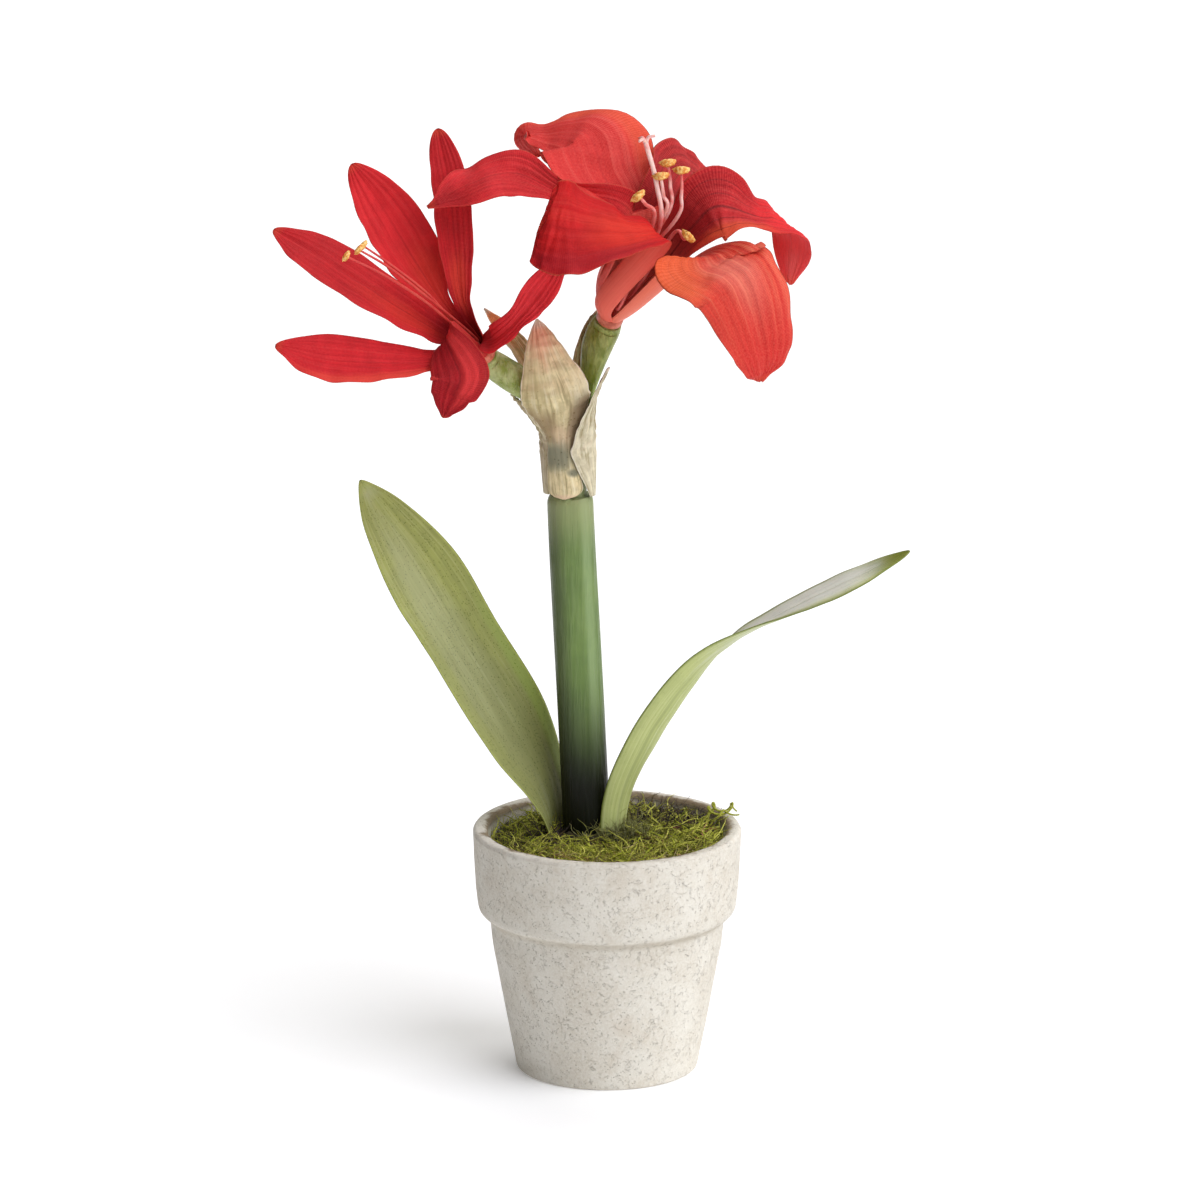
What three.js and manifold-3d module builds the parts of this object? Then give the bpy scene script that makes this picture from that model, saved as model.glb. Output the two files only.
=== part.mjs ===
// An artificial amaryllis in a round pot: two six-tepalled blooms on one stem, two strap leaves,
// papery bracts round the top of the stem, and moss over the soil.
// Millimetres, +Z up. The origin is the centre of the pot's flat base, and -Y is the front.
import * as THREE from 'three';
import { mergeVertices } from 'three/addons/utils/BufferGeometryUtils.js';
import Module from 'manifold-3d';

const wasm = await Module();
wasm.setup();

// ---------------------------------------------------------------- driving dimensions

const GAP = 0.3; // clearance between pieces that touch

const POT_HEIGHT = 92.4;
const RIM_RADIUS = 50;
const BASE_RADIUS = 33.9;
const BAND_BOTTOM = 61.8; // height of the rim band's lower edge
const WAIST_HEIGHT = 57.6; // where the step under the band meets the body
const WAIST_RADIUS = 43.9;
const POT_FLOOR = 8; // height of the inside floor
const INNER_FLOOR_RADIUS = 29;
const INNER_RIM_RADIUS = 44;
const INNER_RIM_HEIGHT = 88;
const POT_SIDES = 40;

const SOIL_TOP = 81;
const MOSS_BASE = SOIL_TOP + GAP;
const MOSS_EDGE_HEIGHT = 85.6; // mean height of the moss at the pot's wall
const MOSS_MOUND = 5.6; // rise of the moss towards the stem
const TUFT_COUNT = 14;
const GOLDEN_ANGLE = 137.5;

const STEM_FOOT = 40; // height of the stem's buried end
const STEM_SHOULDER = 219; // the bracts stand on this shoulder
const STEM_TOP = 240;
const STEM_RADIUS = 8.7;
const NECK_RADIUS = 6.2;

const TEPAL_THICKNESS = 0.8;
const TEPAL_LAYER = 0.2; // outward shift of the outer three tepals, inward of the inner three
const CUP_HEIGHT = 4; // height of the cup that a bloom's tepals grow from
const LEAF_THICKNESS = 1.1;
const BRACT_THICKNESS = 0.7;
const FILAMENT_RADIUS = 0.55;

// ---------------------------------------------------------------- materials

function finish(color, roughness, metalness = 0) {
  return new THREE.MeshStandardMaterial({ color, roughness, metalness });
}

const PULP = finish(0xd5cfc0, 0.95);
const SOIL = finish(0x3a2d22, 1.0);
const MOSS = finish(0x8f9432, 0.95);
const STEM_GREEN = finish(0x5f8a55, 0.5);
const LEAF_GREEN = finish(0x8b9a4a, 0.55);
const OVARY_GREEN = finish(0x8aa04a, 0.5);
const BRACT_TAN = finish(0xc9b98a, 0.85);
const TEPAL_RED = finish(0xcf2a2e, 0.7);
const STAMEN_PINK = finish(0xf0b0a6, 0.35);

// ---------------------------------------------------------------- geometry helpers

const vector = (point) => new THREE.Vector3(...point);

// A smooth curve through hand-set points.
function curveThrough(points) {
  return new THREE.CatmullRomCurve3(points, false, 'catmullrom', 0.5);
}

// A value that runs smoothly through evenly spaced keys as t goes from 0 to 1.
function keyed(keys, t) {
  if (keys.length === 1) {
    return keys[0];
  }
  return curveThrough(keys.map((key) => new THREE.Vector3(key, 0, 0))).getPoint(t).x;
}

function geometryFrom(positions, indices) {
  const geometry = new THREE.BufferGeometry();
  geometry.setAttribute('position', new THREE.Float32BufferAttribute(positions, 3));
  geometry.setIndex(indices);
  return geometry;
}

// Turns a closed geometry into a solid that can be joined and cut.
function solidOf(geometry) {
  const bare = geometry.clone();
  bare.deleteAttribute('normal');
  bare.deleteAttribute('uv');
  const merged = mergeVertices(bare, 1e-4);
  const vertProperties = new Float32Array(merged.attributes.position.array);
  const triVerts = new Uint32Array(merged.index.array);
  return new wasm.Manifold(new wasm.Mesh({ numProp: 3, vertProperties, triVerts }));
}

function geometryOf(solid) {
  const { vertProperties, triVerts } = solid.getMesh();
  return geometryFrom([...vertProperties], [...triVerts]);
}

function union(solids) {
  return solids.reduce((joined, next) => joined.add(next));
}

// Points and sideways directions along a curve. The direction turns as little as it can
// from one station to the next.
function stations(points, across, rows) {
  const curve = curveThrough(points);
  const sideways = across.clone();
  return Array.from({ length: rows + 1 }, (_, row) => {
    const t = 1 - (1 - row / rows) ** 1.15;
    const tangent = curve.getTangent(t);
    sideways.addScaledVector(tangent, -sideways.dot(tangent)).normalize();
    return { t, centre: curve.getPoint(t), tangent, sideways: sideways.clone() };
  });
}

// The middle surface of a petal, leaf or bract, as rows of points from root to tip.
function bladeSurface(blade, rows, columns, margin) {
  const { cup = [0], twist = [0], wave = [0], waves = 2, phases = [0, 1.5], tip = 10 } = blade;
  return stations(blade.spine, blade.across, rows).map(({ t, centre, tangent, sideways }) => {
    const turn = THREE.MathUtils.degToRad(keyed(twist, t));
    const across = sideways.clone().applyAxisAngle(tangent, turn);
    const inward = new THREE.Vector3().crossVectors(tangent, across);
    const rounding = Math.sqrt(Math.max(1 - t ** tip, 0));
    const half = Math.max(keyed(blade.halfWidth, t) * rounding, 0.35) + margin;
    const bend = THREE.MathUtils.degToRad(keyed(cup, t)) || 1e-3;
    const ripple = keyed(wave, t);
    return Array.from({ length: columns + 1 }, (_, column) => {
      const q = (2 * column) / columns - 1;
      const phase = q < 0 ? phases[0] : phases[1];
      const rise = ripple * Math.abs(q) ** 2.5 * Math.sin(2 * Math.PI * waves * t + phase);
      return centre
        .clone()
        .addScaledVector(across, (half * Math.sin(bend * q)) / bend)
        .addScaledVector(inward, (half * (1 - Math.cos(bend * q))) / bend + rise);
    });
  });
}

// Unit normals of a grid of points.
function gridNormals(grid) {
  const last = { row: grid.length - 1, column: grid[0].length - 1 };
  return grid.map((line, row) =>
    line.map((_, column) => {
      const along = new THREE.Vector3().subVectors(
        grid[Math.min(row + 1, last.row)][column],
        grid[Math.max(row - 1, 0)][column],
      );
      const aside = new THREE.Vector3().subVectors(
        line[Math.min(column + 1, last.column)],
        line[Math.max(column - 1, 0)],
      );
      return along.cross(aside).normalize();
    }),
  );
}

// A blade of even thickness: two like-triangulated faces and a rim round them.
function bladeGeometry(blade, { rows, columns, thickness, margin = 0 }) {
  const grid = bladeSurface(blade, rows, columns, margin);
  const normals = gridNormals(grid);
  const positions = [];
  for (const side of [1, -1]) {
    grid.forEach((line, row) => {
      line.forEach((point, column) => {
        const offset = (side * (thickness + 2 * margin)) / 2;
        positions.push(...point.clone().addScaledVector(normals[row][column], offset).toArray());
      });
    });
  }
  const width = columns + 1;
  const back = (rows + 1) * width;
  const indices = [];
  for (let row = 0; row < rows; row += 1) {
    for (let column = 0; column < columns; column += 1) {
      const a = row * width + column;
      const b = a + width;
      indices.push(a, b, b + 1, a, b + 1, a + 1);
      indices.push(back + a, back + b + 1, back + b, back + a, back + a + 1, back + b + 1);
    }
  }
  const rim = [];
  for (let column = 0; column < columns; column += 1) rim.push(column);
  for (let row = 0; row < rows; row += 1) rim.push(row * width + columns);
  for (let column = columns; column > 0; column -= 1) rim.push(rows * width + column);
  for (let row = rows; row > 0; row -= 1) rim.push(row * width);
  rim.forEach((from, index) => {
    const to = rim[(index + 1) % rim.length];
    indices.push(from, to, back + to, from, back + to, back + from);
  });
  return geometryFrom(positions, indices);
}

// A closed round rod along a curve, with a radius that follows its keys.
function rodGeometry(points, radii, { sides, rows }) {
  const across = new THREE.Vector3(0.31, 0.7, 0.2);
  const positions = [];
  const indices = [];
  for (const { t, centre, tangent, sideways } of stations(points, across, rows)) {
    const second = new THREE.Vector3().crossVectors(tangent, sideways);
    const radius = keyed(radii, t);
    for (let side = 0; side < sides; side += 1) {
      const angle = (2 * Math.PI * side) / sides;
      const point = centre
        .clone()
        .addScaledVector(sideways, radius * Math.cos(angle))
        .addScaledVector(second, radius * Math.sin(angle));
      positions.push(...point.toArray());
    }
  }
  for (let row = 0; row < rows; row += 1) {
    for (let side = 0; side < sides; side += 1) {
      const a = row * sides + side;
      const b = row * sides + ((side + 1) % sides);
      indices.push(a, b, b + sides, a, b + sides, a + sides);
    }
  }
  const lastRow = rows * sides;
  for (let side = 1; side < sides - 1; side += 1) {
    indices.push(0, side + 1, side, lastRow, lastRow + side, lastRow + side + 1);
  }
  return geometryFrom(positions, indices);
}

function turnedGeometry(profile, sides) {
  const points = profile.map(([radius, height]) => new THREE.Vector2(radius, height));
  const geometry = new THREE.LatheGeometry(points, sides);
  return geometry.rotateX(Math.PI / 2);
}

// ---------------------------------------------------------------- pot, soil and moss

// Radius of the pot's inside wall at a height.
function innerRadius(height) {
  const share = (height - POT_FLOOR) / (INNER_RIM_HEIGHT - POT_FLOOR);
  return INNER_FLOOR_RADIUS + (INNER_RIM_RADIUS - INNER_FLOOR_RADIUS) * share;
}

function potGeometry() {
  return turnedGeometry(
    [
      [0, 0],
      [BASE_RADIUS - 1.3, 0],
      [BASE_RADIUS, 1.3],
      [42.75, 48.2],
      [43.3, 53.5],
      [WAIST_RADIUS, WAIST_HEIGHT],
      [45.4, 59.5],
      [47.6, BAND_BOTTOM],
      [48.5, 64.8],
      [RIM_RADIUS, POT_HEIGHT - 1.9],
      [RIM_RADIUS - 0.8, POT_HEIGHT - 0.5],
      [RIM_RADIUS - 3, POT_HEIGHT],
      [INNER_RIM_RADIUS + 1, POT_HEIGHT - 0.6],
      [INNER_RIM_RADIUS, INNER_RIM_HEIGHT],
      [INNER_FLOOR_RADIUS, POT_FLOOR],
      [0, POT_FLOOR],
    ],
    POT_SIDES,
  );
}

function soilSolid(cutters) {
  const bottom = POT_FLOOR + GAP;
  const plug = turnedGeometry(
    [
      [0, bottom],
      [innerRadius(bottom) - GAP, bottom],
      [innerRadius(SOIL_TOP) - GAP, SOIL_TOP],
      [0, SOIL_TOP],
    ],
    POT_SIDES,
  );
  return cutters.reduce((soil, cutter) => soil.subtract(cutter), solidOf(plug));
}

// Height of the moss: a low mound round the stem with small hummocks.
function mossHeight(x, y) {
  const nearStem = Math.exp(-((x + 4) ** 2 + (y - 2) ** 2) / 380);
  const back = 1.4 * THREE.MathUtils.smoothstep(x + y, 5, 40);
  const front = 2.6 * THREE.MathUtils.smoothstep(-y, 12, 40);
  const hummocks = Math.sin(0.43 * x + 1.1) * Math.cos(0.39 * y) + 0.6 * Math.sin(0.9 * x - 0.7 * y);
  return MOSS_EDGE_HEIGHT + MOSS_MOUND * nearStem + back + front + 0.7 * hummocks;
}

function mossMoundGeometry() {
  const rings = 8;
  const positions = [0, 0, mossHeight(0, 0), 0, 0, MOSS_BASE];
  const indices = [];
  for (let ring = 1; ring <= rings + 1; ring += 1) {
    const lower = ring === rings + 1;
    for (let side = 0; side < POT_SIDES; side += 1) {
      const angle = (2 * Math.PI * side) / POT_SIDES;
      const reach = innerRadius(lower ? MOSS_BASE : MOSS_EDGE_HEIGHT - 2) - GAP - 0.1;
      const radius = (reach * Math.min(ring, rings)) / rings;
      const x = radius * Math.cos(angle);
      const y = radius * Math.sin(angle);
      positions.push(x, y, lower ? MOSS_BASE : mossHeight(x, y));
    }
  }
  for (let side = 0; side < POT_SIDES; side += 1) {
    const next = (side + 1) % POT_SIDES;
    indices.push(0, 2 + side, 2 + next);
    for (let ring = 0; ring < rings; ring += 1) {
      const a = 2 + ring * POT_SIDES + side;
      const b = 2 + ring * POT_SIDES + next;
      indices.push(a, a + POT_SIDES, b + POT_SIDES, a, b + POT_SIDES, b);
    }
    const lowest = 2 + rings * POT_SIDES;
    indices.push(1, lowest + next, lowest + side);
  }
  return geometryFrom(positions, indices);
}

// Arched tufts that root in the mound, turned round the stem by the golden angle.
function mossTufts() {
  const tufts = [];
  for (let index = 0; index < TUFT_COUNT; index += 1) {
    const radius = 15 + 24 * ((index * 0.618) % 1);
    const angle = THREE.MathUtils.degToRad(GOLDEN_ANGLE * index);
    const x = radius * Math.cos(angle);
    const y = radius * Math.sin(angle);
    const lean = THREE.MathUtils.degToRad(80 * index);
    const ground = mossHeight(x, y);
    const points = [
      [x, y, ground - 2],
      [x + 1.2 * Math.cos(lean), y + 1.2 * Math.sin(lean), ground + 1.3],
      [x + 3.6 * Math.cos(lean), y + 3.6 * Math.sin(lean), ground + 1.9],
    ];
    if (Math.hypot(points[2][0], points[2][1]) < 40) {
      tufts.push(solidOf(rodGeometry(points.map(vector), [1.3, 1.1, 0.5], { sides: 4, rows: 3 })));
    }
  }
  return tufts;
}

// A loose strand that curls over the rim at the right.
function mossStrand() {
  const points = [
    [36, 11, 84],
    [38.5, 13, 92.5],
    [42.5, 14, 95.5],
    [46, 14.5, 94.6],
    [48.5, 15.5, 96.2],
  ];
  return solidOf(rodGeometry(points.map(vector), [0.9, 0.8, 0.7, 0.6], { sides: 6, rows: 9 }));
}

function mossSolid(cutters) {
  const mat = union([solidOf(mossMoundGeometry()), ...mossTufts(), mossStrand()]);
  return cutters.reduce((moss, cutter) => moss.subtract(cutter), mat);
}

// ---------------------------------------------------------------- stem and leaves

const STEM_AXIS = [
  [-6.6, 5.2, STEM_FOOT],
  [-7.6, 5, 90],
  [-9.3, 5, 130],
  [-11.8, 4.5, 178],
  [-12.9, 4, 199],
  [-13.7, 4, STEM_SHOULDER],
].map(vector);

function stemRod(margin) {
  const radius = STEM_RADIUS + margin;
  const axis = STEM_AXIS.map((point) => point.clone());
  axis[0].z -= margin;
  return solidOf(rodGeometry(axis, [radius + 0.2, radius + 0.2, radius, radius - 0.2], { sides: 20, rows: 9 }));
}

function stemSolid() {
  const neck = [
    [-13.7, 4, STEM_SHOULDER - 2],
    [-13.6, 4, STEM_TOP],
  ].map(vector);
  const neckRod = rodGeometry(neck, [NECK_RADIUS], { sides: 20, rows: 2 });
  return stemRod(0).add(solidOf(neckRod));
}

const LEAF_LEFT = {
  spine: [
    [-21, 6, 74],
    [-21.2, 6, 99.5],
    [-34.2, 6.5, 127.5],
    [-53.5, 9, 160.5],
    [-68.6, 10, 186.5],
    [-82.7, 10, 209],
    [-91.2, 9, 223],
  ].map(vector),
  across: new THREE.Vector3(-0.1, -1, 0),
  halfWidth: [8.4, 12.8, 16.6, 15.5, 15.6, 10.2, 4.1],
  cup: [43, 16, 19, 22, 18, 9],
  twist: [0, -24, -48, -57, -61, -67],
};

const LEAF_RIGHT = {
  spine: [
    [3.2, -1.4, 74],
    [5.4, -1, 102],
    [14.5, -2, 124.5],
    [29, -4, 148],
    [44.5, -5, 164],
    [65.5, -6, 176.5],
    [87, -6, 187.5],
    [111.6, -5, 199.7],
  ].map(vector),
  across: new THREE.Vector3(0.6, 0.8, -0.1),
  halfWidth: [7, 8.1, 8.7, 8.7, 10.1, 11.1, 10.3, 5.3],
  cup: [49, 44, 37, 26, 2, -2],
  twist: [-1, -8, -8, 22, 42, 56],
};

const LEAF_GRID = { rows: 20, columns: 6, thickness: LEAF_THICKNESS };

function leafSolid(leaf) {
  return solidOf(bladeGeometry(leaf, LEAF_GRID));
}

// The slot that a leaf's foot stands in, a gap wider and deeper than the foot.
function holeFor(leaf) {
  const spine = leaf.spine.map((point) => point.clone());
  spine[0].z -= GAP;
  return solidOf(bladeGeometry({ ...leaf, spine }, { ...LEAF_GRID, margin: GAP + 0.1 }));
}

// ---------------------------------------------------------------- bracts

// The front and back bracts lie against the neck, and the two side ones wrap round them.
const BRACT_FOOT = STEM_SHOULDER + GAP + 0.1;
const BRACTS = {
  bract_front: {
    spine: [
      [-15.6, -3.9, BRACT_FOOT],
      [-16.2, -3.8, 230],
      [-16.4, -4.3, 242],
      [-18.3, -7.2, 252.5],
      [-19.6, -10.3, 261.6],
      [-23.4, -9.5, 277.2],
      [-25.8, -5, 287.7],
    ],
    across: [0.97, -0.26, 0],
    halfWidth: [7.2, 5.7, 5.2, 12.2, 13.1, 7.8, 3.3],
    cup: [50, 40, 42, 39, 21, 20, 20],
    twist: [0, 0, 5, 15, 13, 15, 15],
  },
  bract_right: {
    spine: [
      [-4.8, 0.8, BRACT_FOOT],
      [-4.8, 0.8, 236],
      [-5.4, -1.4, 246.8],
      [-3.9, -4, 258.6],
      [0.7, -5, 269.6],
    ],
    across: [0.34, 0.94, 0],
    halfWidth: [2.6, 10.8, 7.9, 3.9, 1.3],
    cup: [30, 66, 51, 28, 17],
    twist: [0, 0, -5, 6, 5],
  },
  bract_left: {
    spine: [
      [-23.2, 5.9, BRACT_FOOT],
      [-24.4, 5.9, 233.5],
      [-25.1, 5.6, 243.1],
      [-31, 3.2, 251.9],
      [-35.3, 2.4, 257.5],
    ],
    across: [0, -1, 0],
    halfWidth: [4.6, 6.6, 6.7, 3.4, 1.2],
    cup: [50, 62, 54, 36],
    twist: [0, 0, 0, 7, 14],
  },
  bract_back_left: {
    spine: [
      [-17.2, 11, BRACT_FOOT],
      [-17.8, 11.4, 237],
      [-22.6, 12.5, 256],
      [-32.2, 11.5, 273],
      [-38.3, 11, 280.3],
      [-45.2, 11, 287.8],
    ],
    across: [-0.88, -0.47, 0],
    halfWidth: [3.2, 3.4, 5.5, 3.8, 3.1, 1.2],
    cup: [23, 24, 20],
    twist: [0, 5, -15, -25],
  },
  bract_back_right: {
    spine: [
      [-10.4, 11.5, BRACT_FOOT],
      [-11, 12.2, 241],
      [-8.2, 12, 260],
      [-8.4, 12, 271],
      [-7.5, 10.5, 280.4],
      [-3.7, 9, 287.4],
    ],
    across: [-0.88, 0.47, 0],
    halfWidth: [3.2, 3.2, 5.6, 3.6, 1.5, 1.2],
    cup: [23, 24, 20],
    twist: [0, 0, 20, 25],
  },
};

function bractGeometry({ spine, across, ...shape }) {
  const blade = { ...shape, spine: spine.map(vector), across: vector(across), tip: 12 };
  return bladeGeometry(blade, { rows: 11, columns: 6, thickness: BRACT_THICKNESS });
}

// ---------------------------------------------------------------- blooms

// Each bloom stands on the flat end of its own stalk, square to its axis. Each tepal has a
// clock angle about that axis, the points that its spine runs through past the tube, and the
// keys of its half width, cup, twist and edge wave from claw to tip.
const BLOOM_RIGHT = {
  base: vector([0.5, 1, 285.5]),
  axis: vector([0.3, -0.47, 0.83]).normalize(),
  stalk: [
    [-10.2, 4, STEM_TOP + GAP],
    [-10.2, 4, STEM_TOP + 3],
    [-9, 3.6, 253],
    [-6.3, 3.2, 264],
    [-3.6, 3, 275],
  ],
  stalkRadius: [2.7, 2.8, 3, 3.9, 5.8, 6, 5.2],
  cupRadius: 5,
  tube: { claw: [3.2, 1.5], throat: [10, 16] },
  tepals: [
    {
      clock: 132,
      spine: [
        [7, -13, 326.5],
        [-1.5, -2, 341.5],
        [-7, 8, 354.5],
        [-22.5, 15, 353],
        [-30.5, 17, 351.5],
        [-24.5, 12, 345],
      ],
      halfWidth: [3.6, 7.4, 13.5, 20, 20.5, 10.7, 8, 5],
      cup: [60, 50, 33, -17, 14, 1],
      twist: [0, 0, -18, -22, -17, -32],
      wave: [0, 0, 0.6, 1.2, 1],
      waves: 2.2,
      phases: [0.5, 2.2],
    },
    {
      clock: 76,
      spine: [
        [22.5, -8, 329],
        [29, 4, 337.5],
        [37, 14, 336.4],
        [43.5, 22, 329],
      ],
      halfWidth: [3.6, 7.4, 14.5, 17.8, 12.5, 4],
      cup: [60, 50, 37, 21, 32],
      twist: [0, 0, -1, 10, -6, 2],
      wave: [0, 0, 1, 1],
      waves: 2.5,
    },
    {
      clock: 22,
      spine: [
        [30.5, -16, 324],
        [40, -18, 333],
        [54.5, -14, 328.5],
        [67, -8, 322.5],
        [67, -2, 300],
      ],
      halfWidth: [3.6, 7.4, 10.5, 15.2, 9.2, 14.6, 5.3],
      cup: [60, 50, 32, 12, -10],
      twist: [0, 0, 16, 23, -11, -36, -72],
      wave: [0, 0, 1, 1.2, 0.8],
      phases: [1, 0],
    },
    {
      clock: 312,
      spine: [
        [33, -27, 315.5],
        [38.5, -37, 315.5],
        [49, -44, 310.5],
        [56, -45, 287],
        [55.8, -42, 273.5],
      ],
      halfWidth: [3.6, 8, 11.5, 23.8, 20.9, 14.6, 9.8],
      cup: [60, 50, 0, -8, -6],
      twist: [0, 0, -5, -5, 16, -4],
      wave: [0, 0, 1, 1.6, 1],
      waves: 2.4,
      phases: [1.7, 0.3],
    },
    {
      clock: 226,
      spine: [
        [18, -28, 324.5],
        [5.5, -40, 328],
        [-10, -46, 329.2],
        [-21, -46, 332.2],
        [-24.2, -42, 331],
      ],
      halfWidth: [3.6, 8.4, 9.5, 13, 18.2, 19.9, 16.9],
      cup: [60, 50, 13, -4, 5],
      twist: [0, 0, -1, -9, -23, -23],
      wave: [0, 0, 0.6, 0.8, 0.6],
      waves: 1.6,
      phases: [0.2, 1.9],
    },
    {
      clock: 152,
      spine: [
        [6, -14, 328],
        [-17, -13, 337],
        [-34, -15, 345],
        [-50.5, -19, 341.5],
        [-65.5, -20, 333.5],
      ],
      halfWidth: [3.6, 8.4, 10.4, 4.8, 9.5, 9.2, 2.9],
      cup: [60, 50, 34, -4, 12],
      twist: [6, 6, -20, -33, 8, -84],
      wave: [0, 0, 0.8, 1.2, 1],
      waves: 2.2,
      phases: [0.9, 0.1],
    },
  ],
};

const BLOOM_LEFT = {
  base: vector([-44.5, -4, 273.5]),
  axis: vector([-0.44, -0.59, 0.68]).normalize(),
  stalk: [
    [-16.6, 4, STEM_TOP + GAP],
    [-16.6, 4, STEM_TOP + 3],
    [-23, 3, 254.5],
    [-32, 0.5, 262.5],
    [-38.5, -1, 267.5],
  ],
  stalkRadius: [2.7, 2.8, 3.8, 5.6, 5.6, 5, 4.4],
  cupRadius: 4.4,
  tube: { claw: [3, 1.5], throat: [4.4, 10] },
  tepals: [
    {
      clock: 175,
      spine: [
        [-64.5, -19, 288],
        [-82.5, -28, 302],
        [-104, -26, 315.5],
        [-121.5, -20, 325],
      ],
      halfWidth: [2.4, 2.8, 7.3, 9.3, 10.8, 6.3],
      cup: [60, 50, 21, 15, 12],
      twist: [0, 0, 1, -6, -1, -4],
    },
    {
      clock: 113,
      spine: [
        [-60, -14, 296],
        [-70, -6, 309.5],
        [-81.5, 0, 327.5],
        [-93.5, 4, 344],
      ],
      halfWidth: [2.4, 2.8, 3.6, 11, 11.3, 6.7],
      cup: [60, 50, 25, 31, 8],
      twist: [0, 0, 22, 7],
    },
    {
      clock: 66,
      spine: [
        [-53, -15.5, 298],
        [-55.5, -9, 316.5],
        [-57.5, -3.5, 337.5],
        [-62, 3, 357.5],
      ],
      halfWidth: [2.4, 2.8, 3.8, 6.8, 7.2, 6.4],
      cup: [60, 50, 28, 21, 10],
      twist: [0, 0, 46, 47, 43],
    },
    {
      clock: 228,
      spine: [
        [-62.5, -24, 276.5],
        [-81.5, -34, 278.5],
        [-103, -38, 281],
        [-120.5, -40, 286.5],
      ],
      halfWidth: [2.4, 2.8, 5.2, 8.4, 10, 5.1],
      cup: [60, 50, 26, 22, 8],
      twist: [0, 0, -27, -41, -48],
    },
    {
      clock: 283,
      spine: [
        [-58.5, -26.5, 285.5],
        [-53.5, -42, 275.5],
        [-56.5, -47, 268.5],
        [-59.5, -49, 261.5],
      ],
      halfWidth: [2.4, 2.8, 7.3, 11, 9.2, 4.4],
      cup: [60, 50, 16, 14, 14],
      twist: [0, 0, 24, -22, -12, 0],
    },
    {
      clock: 338,
      spine: [
        [-41, -18, 283],
        [-32.5, -24, 292.5],
        [-23.5, -26, 304.5],
        [-11, -24, 322],
      ],
      halfWidth: [2.4, 2.8, 6, 4.6, 6.4, 2],
      cup: [60, 50, 30, 20, 10],
      twist: [0, 0, 26, 51, 49],
    },
  ],
};

// A point beside a bloom's axis, and the outward direction there.
function besideAxis({ base, axis }, clock, radius, height) {
  const right = new THREE.Vector3(1, 0, 0).addScaledVector(axis, -axis.x).normalize();
  const up = new THREE.Vector3().crossVectors(axis, right);
  const angle = THREE.MathUtils.degToRad(clock);
  const outward = right.multiplyScalar(Math.cos(angle)).addScaledVector(up, Math.sin(angle));
  const point = base.clone().addScaledVector(axis, height).addScaledVector(outward, radius);
  return { point, outward };
}

function stalkGeometry({ base, axis, stalk, stalkRadius }) {
  const square = base.clone().addScaledVector(axis, -4);
  return rodGeometry([...stalk.map(vector), square, base], stalkRadius, { sides: 12, rows: 11 });
}

function tepalSolid(bloom, tepal, index) {
  const { claw, throat } = bloom.tube;
  const layer = index % 2 === 0 ? TEPAL_LAYER : -TEPAL_LAYER;
  const foot = besideAxis(bloom, tepal.clock, claw[0] + layer / 2, claw[1]);
  const neck = besideAxis(bloom, tepal.clock, throat[0] + layer, throat[1]);
  const blade = {
    ...tepal,
    spine: [foot.point, neck.point, ...tepal.spine.map(vector)],
    across: new THREE.Vector3().crossVectors(bloom.axis, foot.outward),
  };
  return solidOf(bladeGeometry(blade, { rows: 12, columns: 6, thickness: TEPAL_THICKNESS }));
}

function bloomSolid(bloom) {
  const { base, axis, cupRadius } = bloom;
  const cupAxis = [GAP, CUP_HEIGHT].map((height) => base.clone().addScaledVector(axis, height));
  const cup = solidOf(rodGeometry(cupAxis, [cupRadius], { sides: 14, rows: 1 }));
  return union([cup, ...bloom.tepals.map((tepal, index) => tepalSolid(bloom, tepal, index))]);
}

// ---------------------------------------------------------------- stamens

const KNOB_FOOT = CUP_HEIGHT + GAP; // height of the stamens' knob above the bloom's base
const KNOB_TOP = 9;
const ANTHER_REACH = 2.6; // half the length of an anther

// The last points of each filament, from the throat to its anther. The first is the style,
// which ends in three lobes.
const STAMENS_RIGHT = [
  [[19, -21, 326], [18, -21, 342], [14, -20, 357.5]],
  [[21, -20, 331], [20.5, -21, 338], [19.5, -22, 345.5]],
  [[22, -19, 330.5], [23, -18, 341], [22, -18, 349.5]],
  [[24.5, -20, 328], [27, -20, 338], [27, -19, 347]],
  [[17, -21.5, 328.5], [13.8, -23.8, 335.5], [11.2, -25, 338.6]],
  [[24, -21, 323.5], [28, -24.5, 322.5], [29.5, -26.5, 324]],
];
const STAMENS_LEFT = [
  [[-64.5, -27, 300.5], [-79, -36, 314.5], [-90, -41, 322.5]],
  [[-64, -26, 301], [-78, -35, 315], [-88.5, -39, 323.5]],
  [[-65, -28, 299], [-80.5, -38, 312], [-94.5, -43, 320.5]],
];

function antherSolid(point, along) {
  const across = new THREE.Vector3().crossVectors(along, new THREE.Vector3(0, 1, 0)).normalize();
  const ends = [-ANTHER_REACH, 0, ANTHER_REACH].map((reach) => point.clone().addScaledVector(across, reach));
  return solidOf(rodGeometry(ends, [0.7, 1.4, 0.7], { sides: 5, rows: 2 }));
}

function stigmaLobes(point, along) {
  return [0, 120, 240].map((clock) => {
    const { outward } = besideAxis({ base: point, axis: along }, clock, 0, 0);
    const end = point.clone().addScaledVector(outward, 4).addScaledVector(along, 1.5);
    const bend = point.clone().addScaledVector(outward, 1.6).addScaledVector(along, 1.6);
    return solidOf(rodGeometry([point, bend, end], [0.8, 0.7, 0.5], { sides: 5, rows: 3 }));
  });
}

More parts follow.
